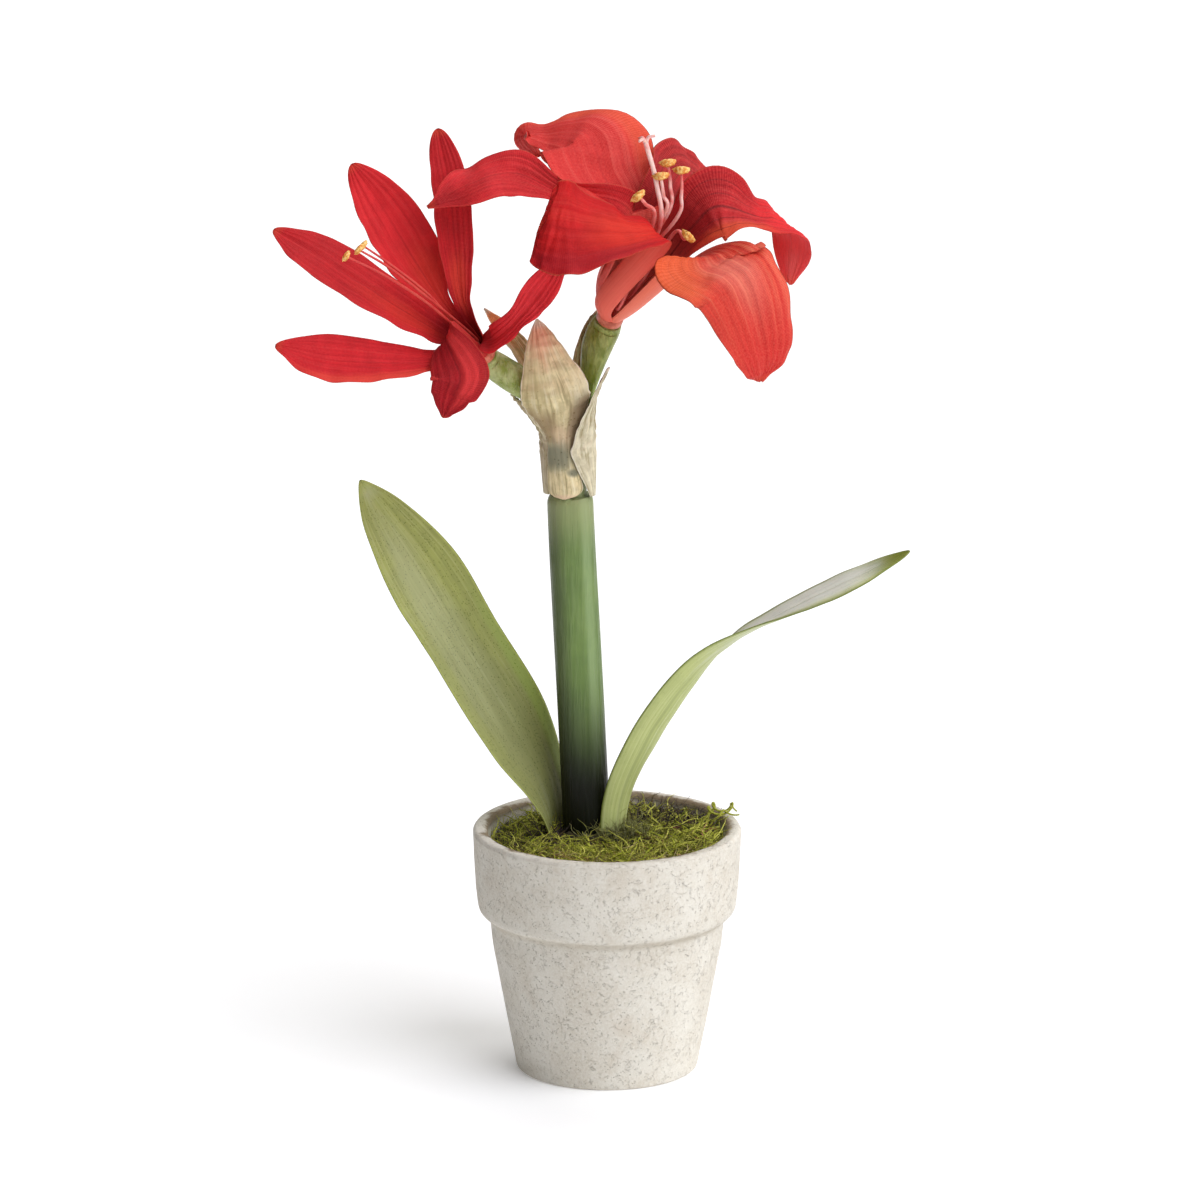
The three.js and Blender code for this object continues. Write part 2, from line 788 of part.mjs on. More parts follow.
function stamenSolid(bloom, filaments, hasStyle) {
  const { base, axis, tube } = bloom;
  const knobAxis = [KNOB_FOOT, KNOB_TOP].map((height) => base.clone().addScaledVector(axis, height));
  const knob = solidOf(rodGeometry(knobAxis, [1.7, 1.3], { sides: 8, rows: 1 }));
  const rods = filaments.flatMap((ends, index) => {
    const clock = (360 * index) / filaments.length;
    const start = besideAxis(bloom, clock, 0.8, KNOB_TOP - 2).point;
    const rise = besideAxis(bloom, clock, 1.6, tube.throat[1] + 4).point;
    const points = [start, rise, ...ends.map(vector)];
    const end = points.at(-1);
    const along = end.clone().sub(points.at(-2)).normalize();
    const isStyle = hasStyle && index === 0;
    const head = isStyle ? stigmaLobes(end, along) : [antherSolid(end, along)];
    const radius = isStyle ? FILAMENT_RADIUS + 0.2 : FILAMENT_RADIUS;
    return [solidOf(rodGeometry(points, [radius], { sides: 4, rows: 6 })), ...head];
  });
  return union([knob, ...rods]);
}

// ---------------------------------------------------------------- the assembly

const amaryllis = new THREE.Group();

function addPiece(name, geometry, material) {
  const piece = new THREE.Mesh(geometry, material);
  piece.name = name;
  amaryllis.add(piece);
}

const plantedHoles = [stemRod(GAP), holeFor(LEAF_LEFT), holeFor(LEAF_RIGHT)];

addPiece('pot', potGeometry(), PULP);
addPiece('soil', geometryOf(soilSolid(plantedHoles)), SOIL);
addPiece('moss', geometryOf(mossSolid(plantedHoles)), MOSS);
addPiece('stem', geometryOf(stemSolid()), STEM_GREEN);
addPiece('leaf_left', geometryOf(leafSolid(LEAF_LEFT)), LEAF_GREEN);
addPiece('leaf_right', geometryOf(leafSolid(LEAF_RIGHT)), LEAF_GREEN);
for (const [name, bract] of Object.entries(BRACTS)) {
  addPiece(name, bractGeometry(bract), BRACT_TAN);
}
addPiece('pedicel_left', stalkGeometry(BLOOM_LEFT), OVARY_GREEN);
addPiece('pedicel_right', stalkGeometry(BLOOM_RIGHT), OVARY_GREEN);
addPiece('bloom_left', geometryOf(bloomSolid(BLOOM_LEFT)), TEPAL_RED);
addPiece('bloom_right', geometryOf(bloomSolid(BLOOM_RIGHT)), TEPAL_RED);
addPiece('stamens_left', geometryOf(stamenSolid(BLOOM_LEFT, STAMENS_LEFT, false)), STAMEN_PINK);
addPiece('stamens_right', geometryOf(stamenSolid(BLOOM_RIGHT, STAMENS_RIGHT, true)), STAMEN_PINK);

export default amaryllis;
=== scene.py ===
"""The looks of an amaryllis in a pot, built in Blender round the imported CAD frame.

Sizes in the data are millimetres, in the CAD frame. Meshes are made in metres.
"""

import logging
import math
from collections.abc import Callable, Iterable, Sequence
from dataclasses import dataclass
from enum import Enum
from typing import Any

import bpy
import numpy as np
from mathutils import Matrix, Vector, noise


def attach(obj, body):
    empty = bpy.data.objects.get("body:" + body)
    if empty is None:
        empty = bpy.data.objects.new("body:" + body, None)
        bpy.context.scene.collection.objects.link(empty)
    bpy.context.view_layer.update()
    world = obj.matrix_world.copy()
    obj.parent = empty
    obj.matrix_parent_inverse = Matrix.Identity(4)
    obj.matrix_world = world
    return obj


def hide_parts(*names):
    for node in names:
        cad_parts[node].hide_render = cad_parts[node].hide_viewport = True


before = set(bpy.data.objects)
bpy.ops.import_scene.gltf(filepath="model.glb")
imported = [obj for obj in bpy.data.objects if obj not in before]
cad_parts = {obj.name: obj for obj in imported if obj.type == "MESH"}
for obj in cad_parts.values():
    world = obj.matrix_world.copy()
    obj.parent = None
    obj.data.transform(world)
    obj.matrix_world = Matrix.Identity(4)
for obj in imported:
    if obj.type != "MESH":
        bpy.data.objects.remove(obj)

log = logging.getLogger("amaryllis")

BODY = "root"
MM = 0.001
TANGENT_STEP = 1e-4

Point = tuple[float, float, float]
Socket = bpy.types.NodeSocket


# ---------------------------------------------------------------- curve and mesh helpers


def unit(vectors: np.ndarray) -> np.ndarray:
    """Vectors scaled to length one along their last axis."""
    return vectors / np.linalg.norm(vectors, axis=-1, keepdims=True)


def smoothstep(value: np.ndarray, low: float, high: float) -> np.ndarray:
    """A soft step from 0 at low to 1 at high."""
    share = np.clip((value - low) / (high - low), 0, 1)
    return share * share * (3 - 2 * share)


def catmull_rom(points: Sequence, t: np.ndarray) -> np.ndarray:
    """Runs a smooth curve through evenly weighted points.

    Args:
        points: The points, or plain numbers.
        t: Where to read the curve, from 0 to 1.

    Returns:
        One row for each t.
    """
    knots = np.asarray(points, float)
    if knots.ndim == 1:
        knots = knots[:, None]
    if len(knots) == 1:
        return np.repeat(knots, len(t), 0)
    padded = np.vstack([2 * knots[0] - knots[1], knots, 2 * knots[-1] - knots[-2]])
    place = np.clip(t, 0, 1) * (len(knots) - 1)
    index = np.minimum(place.astype(int), len(knots) - 2)
    w = (place - index)[:, None]
    before, start, end, after = (padded[index + step] for step in range(4))
    leave, arrive = (end - before) / 2, (after - start) / 2
    return (
        (2 * w**3 - 3 * w**2 + 1) * start
        + (w**3 - 2 * w**2 + w) * leave
        + (3 * w**2 - 2 * w**3) * end
        + (w**3 - w**2) * arrive
    )


def keyed(keys: Sequence[float], t: np.ndarray) -> np.ndarray:
    """A value that runs smoothly through evenly spaced keys."""
    return catmull_rom(keys, t)[:, 0]


def stations(
    points: Sequence, across: Sequence[float], t: np.ndarray
) -> tuple[np.ndarray, np.ndarray, np.ndarray]:
    """Reads a curve with directions that turn as little as they can along it.

    Args:
        points: The curve's points.
        across: The sideways direction at its start.
        t: Where to read it.

    Returns:
        Centres, tangents and sideways directions, one row for each t.
    """
    step = TANGENT_STEP
    centres = catmull_rom(points, t)
    tangents = unit(catmull_rom(points, t + step) - catmull_rom(points, t - step))
    sideways = np.empty_like(centres)
    current = np.asarray(across, float)
    for row, tangent in enumerate(tangents):
        current = unit(current - tangent * current.dot(tangent))
        sideways[row] = current
    return centres, tangents, sideways


def lumps(points: np.ndarray, size: float, seed: float) -> np.ndarray:
    """Smooth noise from -1 to 1 at each point, with lumps of a size in mm."""
    return np.array([noise.noise(Vector((x / size + seed, y / size, z / size))) for x, y, z in points])


def mesh_from(name: str, points: np.ndarray, faces: Iterable[Sequence[int]]) -> bpy.types.Mesh:
    """A smooth-shaded mesh in metres from points in millimetres."""
    mesh = bpy.data.meshes.new(name)
    mesh.from_pydata((np.asarray(points) * MM).tolist(), [], [list(map(int, face)) for face in faces])
    mesh.polygons.foreach_set("use_smooth", [True] * len(mesh.polygons))
    mesh.update()
    return mesh


def capped_rings(rows: int, sides: int) -> list[list[int]]:
    """The faces of a tube of rings of points, whose two end points come last."""
    faces, count = [], rows * sides
    for step in range(sides):
        after = (step + 1) % sides
        for row in range(rows - 1):
            a, b = row * sides + step, row * sides + after
            faces.append([a, b, b + sides, a + sides])
        faces.append([count, after, step])
        faces.append([count + 1, count - sides + step, count - sides + after])
    return faces


def set_uv(mesh: bpy.types.Mesh, name: str, values: np.ndarray) -> None:
    """Adds a UV map that has one value for each vertex."""
    layer = mesh.uv_layers.new(name=name)
    corners = np.empty(len(mesh.loops), np.int32)
    mesh.loops.foreach_get("vertex_index", corners)
    layer.data.foreach_set("uv", values[corners].astype(np.float32).ravel())


def set_attribute(mesh: bpy.types.Mesh, name: str, values: np.ndarray) -> None:
    """Adds a number or a vector to each vertex."""
    values = np.asarray(values, np.float32)
    kind, key = ("FLOAT", "value") if values.ndim == 1 else ("FLOAT_VECTOR", "vector")
    mesh.attributes.new(name, kind, "POINT").data.foreach_set(key, values.ravel())


def add_piece(mesh: bpy.types.Mesh, finish: "Finish", node: str) -> bpy.types.Object:
    """Puts a mesh in the scene as a piece that stands for a CAD node."""
    piece = bpy.data.objects.new(mesh.name, mesh)
    bpy.context.scene.collection.objects.link(piece)
    mesh.materials.clear()
    mesh.materials.append(finish.material())
    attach(piece, BODY)
    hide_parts(node)
    log.info("%s: %d faces, stands for %s", piece.name, len(mesh.polygons), node)
    return piece


# ---------------------------------------------------------------- node helpers

OBJECT_COORDINATES = 3
ATTRIBUTE_NUMBER = 2


def colour(code: str) -> tuple[float, float, float, float]:
    """A linear colour from a hex code such as #aabbcc."""
    parts = [int(code[place : place + 2], 16) / 255 for place in (1, 3, 5)]
    linear = [part / 12.92 if part <= 0.04045 else ((part + 0.055) / 1.055) ** 2.4 for part in parts]
    return (*linear, 1.0)


def operator(operation: str, swapped: bool = False) -> Callable[["Value", Any], "Value"]:
    """An operator of Value that adds a Math node."""

    def apply(value: "Value", other: Any) -> "Value":
        """The result of the node."""
        first, second = (other, value) if swapped else (value, other)
        return value.graph.math(operation, first, second)

    return apply


@dataclass(frozen=True)
class Value:
    """A node's output, reckoned with like a number."""

    graph: "Graph"
    socket: Socket

    __add__, __radd__ = operator("ADD"), operator("ADD", True)
    __sub__, __rsub__ = operator("SUBTRACT"), operator("SUBTRACT", True)
    __mul__, __rmul__ = operator("MULTIPLY"), operator("MULTIPLY", True)
    __truediv__, __rtruediv__ = operator("DIVIDE"), operator("DIVIDE", True)

    def __abs__(self) -> "Value":
        """The value without its sign."""
        return self.graph.math("ABSOLUTE", self)


class Graph:
    """Adds nodes to a shader or geometry node tree."""

    def __init__(self, tree: bpy.types.NodeTree) -> None:
        """Works on a tree."""
        self.tree = tree

    def add(self, kind: str, inputs: dict[str | int, Any] | None = None, **settings: Any) -> list[Value]:
        """Adds a node.

        Args:
            kind: The node's type name.
            inputs: A value for each input, by name or place.
            settings: The node's own settings.

        Returns:
            The node's outputs.
        """
        node = self.tree.nodes.new(kind)
        for key, value in settings.items():
            setattr(node, key, value)
        for key, value in (inputs or {}).items():
            self.feed(node.inputs[key], value)
        return [Value(self, socket) for socket in node.outputs]

    def geo(self, kind: str, inputs: dict[str | int, Any] | None = None) -> Value:
        """The first output of a geometry node."""
        return self.add(f"GeometryNode{kind}", inputs)[0]

    def feed(self, socket: Socket, value: Any) -> None:
        """Links a socket or sets its value."""
        if isinstance(value, Value):
            self.tree.links.new(value.socket, socket)
        elif isinstance(value, str) and value.startswith("#"):
            socket.default_value = colour(value)
        else:
            socket.default_value = value

    def math(self, operation: str, *values: Any) -> Value:
        """The result of a Math node."""
        return self.add("ShaderNodeMath", dict(enumerate(values)), operation=operation)[0]

    def vector(self, operation: str, inputs: dict[str | int, Any]) -> list[Value]:
        """The results of a Vector Math node: a vector and a number."""
        return self.add("ShaderNodeVectorMath", inputs, operation=operation)

    def remap(self, value: Any, low: Any, high: Any, start: Any = 0.0, end: Any = 1.0) -> Value:
        """A soft step of a value from low to high."""
        inputs = {"Value": value, "From Min": low, "From Max": high, "To Min": start, "To Max": end}
        return self.add("ShaderNodeMapRange", inputs, interpolation_type="SMOOTHSTEP")[0]

    def mix(self, share: Any, first: Any, second: Any) -> Value:
        """A mix of two colours."""
        return self.add("ShaderNodeMix", {0: share, 6: first, 7: second}, data_type="RGBA")[2]

    def noise(
        self, vector: Any, scale: Any, detail: Any = 3.0, rough: float = 0.55, bend: float = 0.0
    ) -> Value:
        """A noise value."""
        inputs = {"Vector": vector, "Scale": scale, "Detail": detail, "Roughness": rough, "Distortion": bend}
        return self.add("ShaderNodeTexNoise", inputs)[0]

    def cells(self, vector: Any, scale: Any) -> tuple[Value, list[Value]]:
        """The distance to the middle of a cell, and three random numbers of the cell."""
        distance, tint = self.add("ShaderNodeTexVoronoi", {"Vector": vector, "Scale": scale})[:2]
        return distance, self.split(tint)

    def stretched(self, vector: Any, scale: Any, shift: Any = (0.0, 0.0, 0.0)) -> Value:
        """A vector times a scale, plus a shift."""
        return self.vector("MULTIPLY_ADD", {0: vector, 1: scale, 2: shift})[0]

    def split(self, vector: Any) -> list[Value]:
        """The three numbers of a vector."""
        return self.add("ShaderNodeSeparateXYZ", {0: vector})

    def joined(self, x: Any = 0.0, y: Any = 0.0, z: Any = 0.0) -> Value:
        """A vector of three numbers."""
        return self.add("ShaderNodeCombineXYZ", {0: x, 1: y, 2: z})[0]

    def place(self) -> Value:
        """The object coordinates in millimetres."""
        coordinates = self.add("ShaderNodeTexCoord")[OBJECT_COORDINATES]
        return self.stretched(coordinates, (1 / MM,) * 3)

    def uv(self, name: str) -> Value:
        """A named UV map."""
        return self.add("ShaderNodeUVMap", uv_map=name)[0]

    def attribute(self, name: str) -> Value:
        """A named number on the mesh."""
        return self.add("ShaderNodeAttribute", attribute_name=name)[ATTRIBUTE_NUMBER]

    def effect(self, effect: "Effect", **inputs: Any) -> list[Value]:
        """The outputs of a shared effect."""
        return self.add("ShaderNodeGroup", inputs, node_tree=effect.tree())

    def mask(self, effect: "Effect", **inputs: Any) -> Value:
        """The first output of a shared effect."""
        return self.effect(effect, **inputs)[0]

    def bump(self, height: Any, distance: float) -> Value:
        """A normal from a height of 0 to 1, with a depth in mm."""
        return self.add("ShaderNodeBump", {"Height": height, "Distance": distance * MM, "Strength": 1.0})[0]


SOCKETS = {float: "NodeSocketFloat", tuple: "NodeSocketVector"}


@dataclass(frozen=True)
class Effect:
    """A shader node group that several finishes share."""

    name: str
    inputs: dict[str, float | tuple]
    outputs: tuple[str, ...]
    build: Callable[..., Sequence[Value]]

    def tree(self) -> bpy.types.NodeTree:
        """The node group, made the first time that it is asked for."""
        made = bpy.data.node_groups.get(self.name)
        if made:
            return made
        tree = bpy.data.node_groups.new(self.name, "ShaderNodeTree")
        for key, value in self.inputs.items():
            socket = tree.interface.new_socket(name=key, in_out="INPUT", socket_type=SOCKETS[type(value)])
            socket.default_value = value
        for key in self.outputs:
            tree.interface.new_socket(name=key, in_out="OUTPUT", socket_type="NodeSocketFloat")
        graph = Graph(tree)
        results = self.build(graph, *graph.add("NodeGroupInput")[: len(self.inputs)])
        graph.add("NodeGroupOutput", dict(zip(self.outputs, results, strict=True)))
        return tree


# ---------------------------------------------------------------- shared effects


def _mottle(g: Graph, place: Value, scale: Value, detail: Value, low: Value, high: Value) -> Sequence[Value]:
    """Soft blotches."""
    return (g.remap(g.noise(place, scale, detail, 0.6, 0.3), low, high),)


def _speckle(g: Graph, place: Value, scale: Value, share: Value, size: Value) -> Sequence[Value]:
    """Small round dots in a share of the cells."""
    distance, chance = g.cells(place, scale)
    return (g.math("LESS_THAN", chance[0], share) * g.remap(distance, size, size * 0.5),)


def _weave(g: Graph, place: Value, pitch: Value) -> Sequence[Value]:
    """Threads that cross on the diagonal of a cloth measured in mm."""
    x, y, _ = g.split(place)
    turns = 2 * math.pi / pitch
    wander = g.noise(place, 0.35, 2.0) * 3.0
    warp = g.math("SINE", (x + y) * turns + wander)
    weft = g.math("SINE", (x - y) * turns + wander)
    height = g.remap(warp * weft, -1.0, 1.0)
    worn = g.noise(place, 1.1 / pitch, 3.0, 0.8)
    return height, g.remap(height * 0.3 + worn * 0.7, 0.34, 0.66)


def _streaks(g: Graph, place: Value, count: Value, run: Value, seed: Value) -> Sequence[Value]:
    """Lengthwise streaks that follow a blade from its root to its tip."""
    bent = g.noise(g.stretched(place, (2.0, 3.0, 1.0)), 1.0, 2.0)
    x, y, _ = g.split(place)
    value = g.noise(g.joined((x + (bent - 0.5) * 0.12) * count, y * run, seed), 1.0, 3.0, 0.6)
    return g.remap(value, 0.5, 0.66), g.remap(value, 0.5, 0.34), value


def _veins(g: Graph, place: Value, count: Value, width: Value, midrib: Value) -> Sequence[Value]:
    """Thin lengthwise lines, evenly spread over a blade's width, and its midrib."""
    wobble = g.noise(place, 5.0, 2.0)
    x = g.split(place)[0] + (wobble - 0.5) * 0.03
    line = g.remap(abs(g.math("SINE", x * count * math.pi)), width, 0.0)
    return line, g.remap(abs(x - 0.5), midrib, 0.0)


def _patch(g: Graph, place: Value, centre: Value, size: Value, broken: Value) -> Sequence[Value]:
    """A soft spot on a blade with a broken edge."""
    away = g.vector("SUBTRACT", {0: place, 1: centre})[0]
    reach = g.vector("LENGTH", {0: g.vector("DIVIDE", {0: away, 1: size})[0]})[1]
    return (g.remap(reach + (g.noise(place, 7.0, 3.0) - 0.5) * broken, 1.15, 0.35),)


def _rim(g: Graph, place: Value, width: Value) -> Sequence[Value]:
    """A line along a blade's two sides and its tip."""
    x, y, _ = g.split(place)
    side = g.math("MINIMUM", x, 1.0 - x)
    near = g.math("MINIMUM", side, (1.0 - y) * 0.5)
    rough = g.noise(place, 26.0, 2.0) * 0.4
    return (g.remap(near + rough * width, width * 1.2, width * 0.4),)


def _dents(g: Graph, place: Value, scale: Value) -> Sequence[Value]:
    """Short crinkled dents and fine pits."""
    crease = g.remap(abs(g.noise(place, scale, 2.0, 0.6, 0.9) - 0.5), 0.04, 0.0)
    worm = crease * g.remap(g.noise(place, scale * 0.45, 3.0, 0.7, 0.4), 0.52, 0.62)
    distance, chance = g.cells(place, scale * 1.1)
    pit = g.math("LESS_THAN", chance[1], 0.22) * g.remap(distance, 0.3, 0.12)
    grain = g.noise(place, scale * 2.6, 3.0, 0.7)
    return 0.55 + grain * 0.4 - g.math("MAXIMUM", worm * 0.45, pit * 0.8), worm, pit


FLAT = (0.0, 0.0, 0.0)
MOTTLE = Effect(
    "Mottle", {"Vector": FLAT, "Scale": 1.0, "Detail": 3.0, "Low": 0.35, "High": 0.65}, ("Mask",), _mottle
)
SPECKLE = Effect("Speckle", {"Vector": FLAT, "Scale": 1.0, "Share": 0.3, "Size": 0.35}, ("Mask",), _speckle)
WEAVE = Effect("Weave", {"Vector": FLAT, "Pitch": 0.8}, ("Height", "Mask"), _weave)
STREAKS = Effect(
    "Streaks", {"Vector": FLAT, "Count": 12.0, "Run": 1.2, "Seed": 0.0}, ("Light", "Dark", "Value"), _streaks
)
VEINS = Effect(
    "Veins", {"Vector": FLAT, "Count": 12.0, "Width": 0.3, "Midrib": 0.03}, ("Mask", "Midrib"), _veins
)
PATCH = Effect(
    "Patch", {"Vector": FLAT, "Centre": FLAT, "Size": (1.0, 1.0, 1.0), "Broken": 0.6}, ("Mask",), _patch
)
RIM = Effect("Rim", {"Vector": FLAT, "Width": 0.03}, ("Mask",), _rim)
DENTS = Effect("Dents", {"Vector": FLAT, "Scale": 1.0}, ("Height", "Worm", "Pit"), _dents)


# ---------------------------------------------------------------- finishes


class Slot(Enum):
    """Material slot names, which blade finishes and Bloom.add carry."""

    PULP = "pulp"
    MOSS = "moss"
    STEM = "stem"
    LEAF = "leaf"
    OVARY = "ovary"
    BRACT = "bract"
    TEPAL = "tepal"
    STAMEN = "stamen"


@dataclass(frozen=True)
class Finish:
    """A procedural material."""

    name: str

    def material(self) -> bpy.types.Material:
        """The material, made the first time that it is asked for."""
        made = bpy.data.materials.get(f"look_{self.name}")
        if made:
            return made
        material = bpy.data.materials.new(f"look_{self.name}")
        material.use_nodes = True
        graph = Graph(material.node_tree)
        self.paint(graph, material.node_tree.nodes["Principled BSDF"].inputs)
        return material

    def paint(self, g: Graph, shader: bpy.types.NodeInputs) -> None:
        """Feeds the shader.

        Args:
            g: The material's graph.
            shader: The inputs of the shader.
        """
        raise NotImplementedError

    def feed(
        self, g: Graph, shader: bpy.types.NodeInputs, tint: Value, roughness: Value, normal: Value
    ) -> None:
        """Feeds the three inputs that every finish has."""
        for key, value in (("Base Color", tint), ("Roughness", roughness), ("Normal", normal)):
            g.feed(shader[key], value)


@dataclass(frozen=True)
class Spot:
    """A patch of another colour on a blade: u runs across it, v from its root to its tip."""

    u: float
    v: float
    reach_u: float
    reach_v: float
    tint: str
    strength: float = 0.8
    broken: float = 0.6


class Cover(Enum):
    """What a blade's surface is covered with."""

    CLOTH = "cloth"
    PRINT = "print"


@dataclass(frozen=True)
class BladeFinish(Finish):
    """Petals, leaves and bracts: blotches, streaks, veins, spots, an edge and a back."""

    slot: Slot
    base: str
    deep: str
    light: str
    back: str
    rim: str
    back_share: float = 0.6
    rim_share: float = 0.35
    rim_width: float = 0.03
    blotch: float = 0.09
    blotch_share: float = 0.35
    streaks: float = 14.0
    run: float = 1.2
    dark_streaks: float = 0.4
    light_streaks: float = 0.3
    veins: float = 14.0
    vein_share: float = 0.2
    midrib_share: float = 0.35
    midrib_width: float = 0.03
    cover: Cover = Cover.CLOTH
    pitch: float = 1.0
    cover_share: float = 0.25
    speckle_share: float = 0.3
    roughness: float = 0.55
    specular: float = 0.3
    subsurface: float = 0.0
    depth: float = 0.18
    seed: float = 0.0
    spots: tuple[Spot, ...] = ()

    def paint(self, g: Graph, shader: bpy.types.NodeInputs) -> None:
        """Feeds the shader."""
        blade, cloth, back = g.uv("blade"), g.uv("cloth"), g.attribute("back")
        ground = g.mask(MOTTLE, Vector=cloth, Scale=self.blotch)
        tint = g.mix(ground * self.blotch_share, self.base, self.deep)
        drawn = {"Count": self.streaks, "Run": self.run, "Seed": self.seed}
        light, dark, streak = g.effect(STREAKS, Vector=blade, **drawn)
        tint = g.mix(dark * self.dark_streaks, tint, self.deep)
        tint = g.mix(light * self.light_streaks, tint, self.light)
        for spot in self.spots:
            centre, size = (spot.u, spot.v, 0.0), (spot.reach_u, spot.reach_v, 1.0)
            mask = g.mask(PATCH, Vector=blade, Centre=centre, Size=size, Broken=spot.broken)
            tint = g.mix(mask * spot.strength, tint, spot.tint)
        line, middle = g.effect(VEINS, Vector=blade, Count=self.veins, Midrib=self.midrib_width)
        fade = g.remap(g.split(blade)[1], 0.95, 0.5, 0.25, 1.0)
        tint = g.mix(line * fade * self.vein_share, tint, self.deep)
        tint = g.mix(middle * fade * self.midrib_share, tint, self.deep)
        height, cover = self.surface(g, cloth)
        tint = g.mix(cover * self.cover_share, tint, self.light)
        tint = g.mix((1.0 - cover) * self.cover_share, tint, self.deep)
        tint = g.mix(back * self.back_share, tint, g.mix(streak, self.back, self.light))
        edge = g.mask(RIM, Vector=blade, Width=self.rim_width)
        tint = g.mix(edge * self.rim_share, tint, self.rim)
        roughness = g.remap(streak, 0.2, 0.8, self.roughness + 0.12, self.roughness - 0.08)
        ridges = streak * 0.45 + (1.0 - line) * 0.2
        self.feed(g, shader, tint, roughness, g.bump(ridges + height * 0.35, self.depth))
        shader["Subsurface Weight"].default_value = self.subsurface
        shader["Subsurface Scale"].default_value = 2 * MM
        shader["Specular IOR Level"].default_value = self.specular

    def surface(self, g: Graph, cloth: Value) -> tuple[Value, Value]:
        """Height and colour mask of the cover."""
        if self.cover is Cover.CLOTH:
            height, mask = g.effect(WEAVE, Vector=cloth, Pitch=self.pitch)
            return height, mask
        dots = g.mask(SPECKLE, Vector=cloth, Scale=1.0 / self.pitch, Share=self.speckle_share)
        return dots, 1.0 - dots


@dataclass(frozen=True)
class PulpFinish(Finish):
    """Pale moulded pulp with pits, crinkled dents, stains, a worn inner edge and painted shade under the rim
    band's step.
    """

    def paint(self, g: Graph, shader: bpy.types.NodeInputs) -> None:
        """Feeds the shader."""
        place = g.place()
        x, y, z = g.split(place)
        height, worm, pit = g.effect(DENTS, Vector=place, Scale=1.0)
        cloud = g.mask(MOTTLE, Vector=place, Scale=0.06, Detail=4.0, Low=0.3, High=0.7)
        fine = g.mask(MOTTLE, Vector=place, Scale=1.1, Detail=3.0, Low=0.3, High=0.7)
        stain = g.mask(MOTTLE, Vector=g.stretched(place, (1.0, 1.0, 0.5)), Scale=0.07, Low=0.56, High=0.76)
        inward = g.math("SQRT", x * x + y * y)
        ragged = g.noise(place, 0.09, 2.0) * 9.0 + g.noise(place, 0.5, 4.0, 0.7) * 4.0
        worn = g.remap(inward + ragged, 54.0, 51.5) * g.remap(z, 88.5, 91.5)
        # Painted shade: a darker band under the rim band's step, where its underside faces down.
        step = g.remap(z, 61.5, 59.5) * g.remap(z, 56.5, 58.5)
        tint = g.mix(cloud, "#cdc5b6", "#dcd7cb")
        for mask, share, over in (
            (fine, 0.45, "#e9e6de"), (stain, 0.3, "#b39f86"), (worm, 0.14, "#8d8272"),
            (pit, 0.25, "#6f6556"), (worn, 0.85, "#75603f"), (step, 0.45, "#a89d8a"),
        ):
            tint = g.mix(mask * share, tint, over)
        self.feed(g, shader, tint, g.remap(fine, 0.0, 1.0, 0.92, 0.78), g.bump(height, 0.36))
        shader["Specular IOR Level"].default_value = 0.3


@dataclass(frozen=True)
class SoilFinish(Finish):
    """Dark crumbly soil."""

    def paint(self, g: Graph, shader: bpy.types.NodeInputs) -> None:
        """Feeds the shader."""
        place = g.place()
        crumbs = g.mask(MOTTLE, Vector=place, Scale=0.5, Detail=5.0)
        bits = g.mask(SPECKLE, Vector=place, Scale=0.6, Share=0.25)
        tint = g.mix(bits * 0.6, g.mix(crumbs, "#20150d", "#4a3423"), "#7a5f42")
        self.feed(g, shader, tint, g.remap(crumbs, 0.0, 1.0, 0.98, 0.85), g.bump(crumbs, 1.2))


@dataclass(frozen=True)
class FibreFinish(Finish):
    """Moss strands of a few mixed colours, darker near the ground."""

    root: str
    middle: str
    tip: str
    odd: str = "#8a6a34"
    ground: float = 85.5
    top: float = 90.0

    def paint(self, g: Graph, shader: bpy.types.NodeInputs) -> None:
        """Feeds the shader."""
        place = g.place()
        tone = g.attribute("tone")
        flecks = g.mask(MOTTLE, Vector=place, Scale=1.4, Low=0.42, High=0.62)
        tint = g.mix(g.remap(tone, 0.25, 0.9), self.middle, self.tip)
        tint = g.mix(flecks * 0.25, tint, self.middle)
        tint = g.mix(g.remap(tone, 0.2, 0.08) * 0.8, tint, self.odd)
        tint = g.mix(g.remap(g.split(place)[2], self.top, self.ground), tint, self.root)
        self.feed(g, shader, tint, g.remap(flecks, 0.0, 1.0, 0.85, 0.65), g.bump(flecks, 0.3))


@dataclass(frozen=True)
class StemFinish(Finish):
    """A moulded green stem, with painted shade on its left side, a painted highlight stripe right of its
    middle, and painted shadow that darkens it towards the moss.
    """

    def paint(self, g: Graph, shader: bpy.types.NodeInputs) -> None:
        """Feeds the shader."""
        place = g.place()
        x, _, z = g.split(place)
        grain = g.mask(MOTTLE, Vector=g.stretched(place, (1.0, 1.0, 0.05)), Scale=0.9, Detail=3.0)
        cloud = g.mask(MOTTLE, Vector=place, Scale=0.06)
        lean = x + z * 0.048
        # A painted highlight: a soft lengthwise stripe right of the stem's middle.
        stripe = g.remap(lean, -0.5, 1.5) * g.remap(lean, 4.5, 2.5)
        tint = g.mix(cloud, "#647c44", "#6f8749")
        for share, over in (
            # Grain, then painted shade on the stem's left side.
            (grain * 0.25, "#889a68"), (g.remap(lean, -4.5, -10.5) * 0.6, "#484c3a"),
            # The painted highlight stripe.
            (stripe * 0.45, "#9db282"),
            # Painted shadow of the leaves: the stem darkens to near black towards the moss. The top is paler.
            (g.remap(z, 160.0, 106.0), "#0f1208"), (g.remap(z, 196.0, 219.0) * 0.45, "#b0b284"),
        ):
            tint = g.mix(share, tint, over)
        self.feed(g, shader, tint, g.remap(grain, 0.0, 1.0, 0.5, 0.34), g.bump(grain, 0.16))
        shader["Specular IOR Level"].default_value = 0.22


